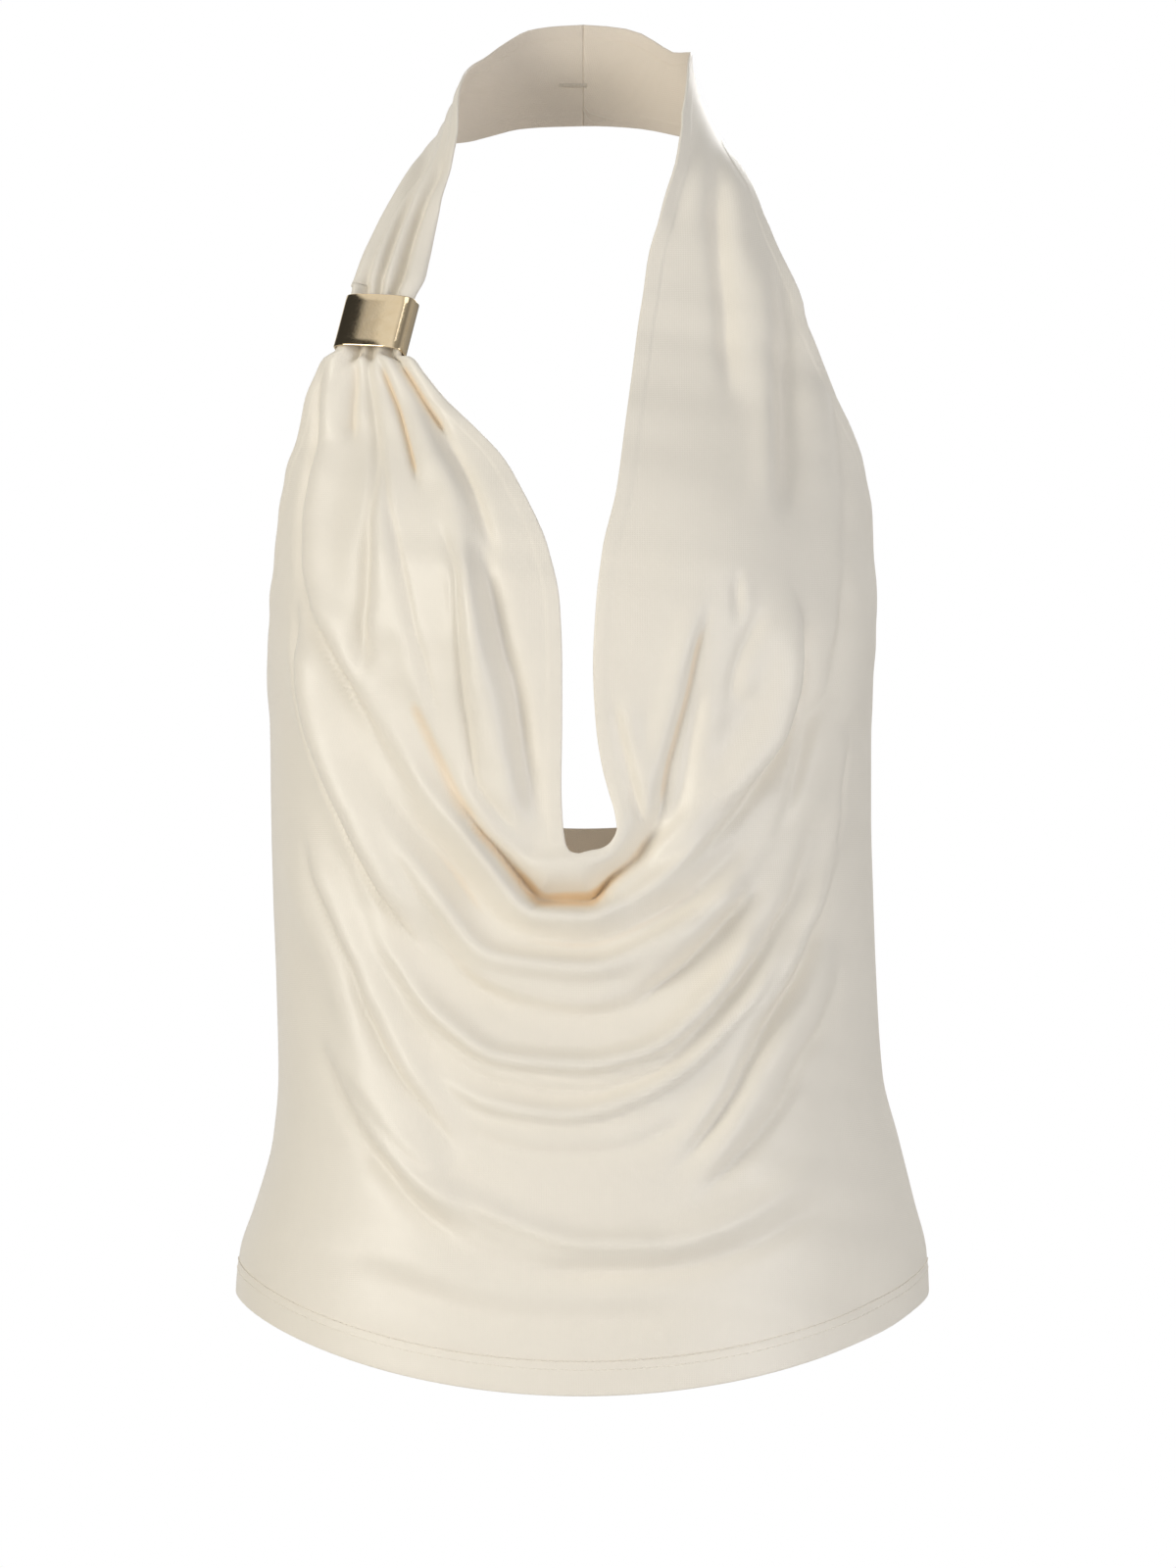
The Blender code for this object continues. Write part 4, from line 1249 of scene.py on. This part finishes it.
thread_finish = textured_polyester()
for piece in threads:
    piece.data.materials.append(thread_finish)
print("Thread finish:", thread_finish.name)

# %% [markdown]
# ## Light gold plate
# The ring is polished, then plated with a thin layer of pale gold alloy. Polishing leaves hair-fine
# marks, and handling adds small scuffs, so the mirror is a little soft and uneven. A metal's colour is
# in its reflection, and its IOR stays as Blender has it.

# %% The ring's finish


def light_gold_plate():
    finish, tree, shader = new_finish("light_gold_plate", Metallic=1.0)
    place = add_node(tree, "ShaderNodeTexCoord").outputs["Object"]
    scuffs = add_node(tree, "ShaderNodeTexNoise", {
        "Vector": place, "Scale": 900.0, "Detail": 4.0, "Roughness": 0.7})
    rough = add_node(tree, "ShaderNodeMapRange", {
        "Value": scuffs.outputs["Fac"], "From Min": 0.35, "From Max": 0.75,
        "To Min": 0.06, "To Max": 0.18})
    colour = mottled(tree, place, 220.0, "#E2CBA4", "#ECD9B8")
    bump = add_node(tree, "ShaderNodeBump", {
        "Strength": 0.2, "Distance": 0.05 * MM, "Height": scuffs.outputs["Fac"]})
    tree.links.new(colour, shader.inputs["Base Color"])
    tree.links.new(rough.outputs["Result"], shader.inputs["Roughness"])
    tree.links.new(bump.outputs["Normal"], shader.inputs["Normal"])
    return finish


gold_ring.data.materials.append(light_gold_plate())
print("Ring finish:", gold_ring.data.materials[0].name)

# %% [markdown]
# ## The studio
# The top is shown over a pale floor, in front of a plain white surround. A polished ring mirrors the
# whole room, though, and in a white room it looks like plaster. So the surround is white to the eye, a
# soft light to the cloth, and a row of light and dark walls to what mirrors it.

# %% Floor and surround
FLOOR_HEIGHT = -1.5
FLOOR_RADIUS = 2.9
FLOOR_CORNERS = 96

# place from left to right, brightness
WALLS = ((0.0, 0.04), (0.175, 0.05), (0.2, 0.85), (0.36, 0.9), (0.5, 0.35), (0.8, 0.25), (1.0, 0.5))


def make_floor():
    mesh = bpy.data.meshes.new("floor")
    angle = np.linspace(0, 2 * math.pi, FLOOR_CORNERS, endpoint=False)
    rim = np.stack([np.cos(angle), np.sin(angle)], axis=1) * FLOOR_RADIUS
    mesh.from_pydata([(x, y, FLOOR_HEIGHT) for x, y in rim], [], [list(range(len(rim)))])
    finish, _, shader = new_finish("pale_floor", Roughness=0.9)
    shader.inputs["Base Color"].default_value = linear("#DDDCDA")
    mesh.materials.append(finish)
    made = bpy.data.objects.new("floor", mesh)
    bpy.context.scene.collection.objects.link(made)


def make_surround():
    """White to the eye, a soft light on the cloth, and light and dark walls for the ring to mirror."""
    world = bpy.data.worlds.new("white_surround")
    world.use_nodes = True
    tree = world.node_tree
    tree.nodes.clear()
    soft = add_node(tree, "ShaderNodeBackground", {"Color": linear("#F2F4F8"), "Strength": 0.35})
    seen = add_node(tree, "ShaderNodeBackground", {"Color": linear("#FFFFFF"), "Strength": 1.0})
    way = add_node(tree, "ShaderNodeTexCoord").outputs["Generated"]
    split = add_node(tree, "ShaderNodeSeparateXYZ", {"Vector": way})
    from_left = add_node(tree, "ShaderNodeMapRange", {
        "Value": split.outputs["X"], "From Min": -1.0, "From Max": 1.0})
    walls = add_node(tree, "ShaderNodeValToRGB", {"Fac": from_left.outputs["Result"]})
    stops = walls.color_ramp.elements
    for place, _ in WALLS[1:-1]:
        stops.new(place)
    for stop, (place, grey) in zip(stops, WALLS):
        stop.position = place
        stop.color = (grey, grey, grey, 1.0)
    mirrored = add_node(tree, "ShaderNodeBackground", {"Color": walls.outputs["Color"], "Strength": 1.0})
    path = add_node(tree, "ShaderNodeLightPath")
    lit = add_node(tree, "ShaderNodeMixShader", {
        0: path.outputs["Is Glossy Ray"], 1: soft.outputs[0], 2: mirrored.outputs[0]})
    mixed = add_node(tree, "ShaderNodeMixShader", {
        0: path.outputs["Is Camera Ray"], 1: lit.outputs[0], 2: seen.outputs[0]})
    add_node(tree, "ShaderNodeOutputWorld", {"Surface": mixed.outputs[0]})
    bpy.context.scene.world = world


make_floor()
make_surround()
print("Floor and surround:", bpy.context.scene.world.name, "with", len(WALLS), "walls")

# %% [markdown]
# One large soft light stands on the ring side, a weaker one on the other side and a faint one above,
# so that every fold has a lit and a shaded flank. One from behind lights the inside of the back. The
# camera stands level with the top, three metres away, with a long lens, so that near and far parts
# keep their sizes.

# %% Lights and camera
CAMERA_PLACE = (0.0023, -3.085, -0.3463)
LENS = 145.1
SENSOR_HEIGHT = 36

# place, what it faces, width, height, watts, colour
SOFT_LIGHTS = {
    "key": ((-2.3, -1.8, 0.15), (0, -0.1, -0.5), 1.2, 1.2, 43, "#FFFBF2"),
    "overhead": ((0.2, -1.6, 1.8), (0, -0.1, -0.4), 1.0, 0.8, 4, "#FFFFFF"),
    "fill": ((2.0, -2.2, -0.6), (0, -0.1, -0.5), 1.4, 1.8, 31, "#F8F8FC"),
    "behind": ((0.9, 2.3, 1.2), (0, 0, -0.3), 1.6, 1.6, 40, "#FFFFFF"),
}


def make_light(name, place, aim, width, height, watts, colour):
    data = bpy.data.lights.new(name, "AREA")
    data.shape = "RECTANGLE"
    data.size, data.size_y = width, height
    data.energy = watts
    data.color = linear(colour)[:3]
    made = bpy.data.objects.new(name, data)
    made.location = place
    made.rotation_euler = (Vector(aim) - Vector(place)).to_track_quat("-Z", "Y").to_euler()
    bpy.context.scene.collection.objects.link(made)


def make_camera():
    data = bpy.data.cameras.new("camera")
    data.lens = LENS
    data.sensor_fit = "VERTICAL"
    data.sensor_height = SENSOR_HEIGHT
    made = bpy.data.objects.new("camera", data)
    made.location = CAMERA_PLACE
    made.rotation_euler = (math.pi / 2, 0, 0)
    bpy.context.scene.collection.objects.link(made)
    bpy.context.scene.camera = made


for light_name, sizes in SOFT_LIGHTS.items():
    make_light(light_name, *sizes)
make_camera()
bpy.context.scene.view_settings.view_transform = "Standard"
print("Lights:", *SOFT_LIGHTS)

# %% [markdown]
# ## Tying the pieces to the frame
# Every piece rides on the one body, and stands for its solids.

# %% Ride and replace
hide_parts("front_panel", "plain_side_strap")
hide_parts("ring_side_strap")
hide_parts("back_panel")
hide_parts("strap_ring")
for piece in (halter_front, gathered_strap, low_back, gold_ring, *threads):
    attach(piece, "root")
print("Pieces tied:", 4 + len(threads))
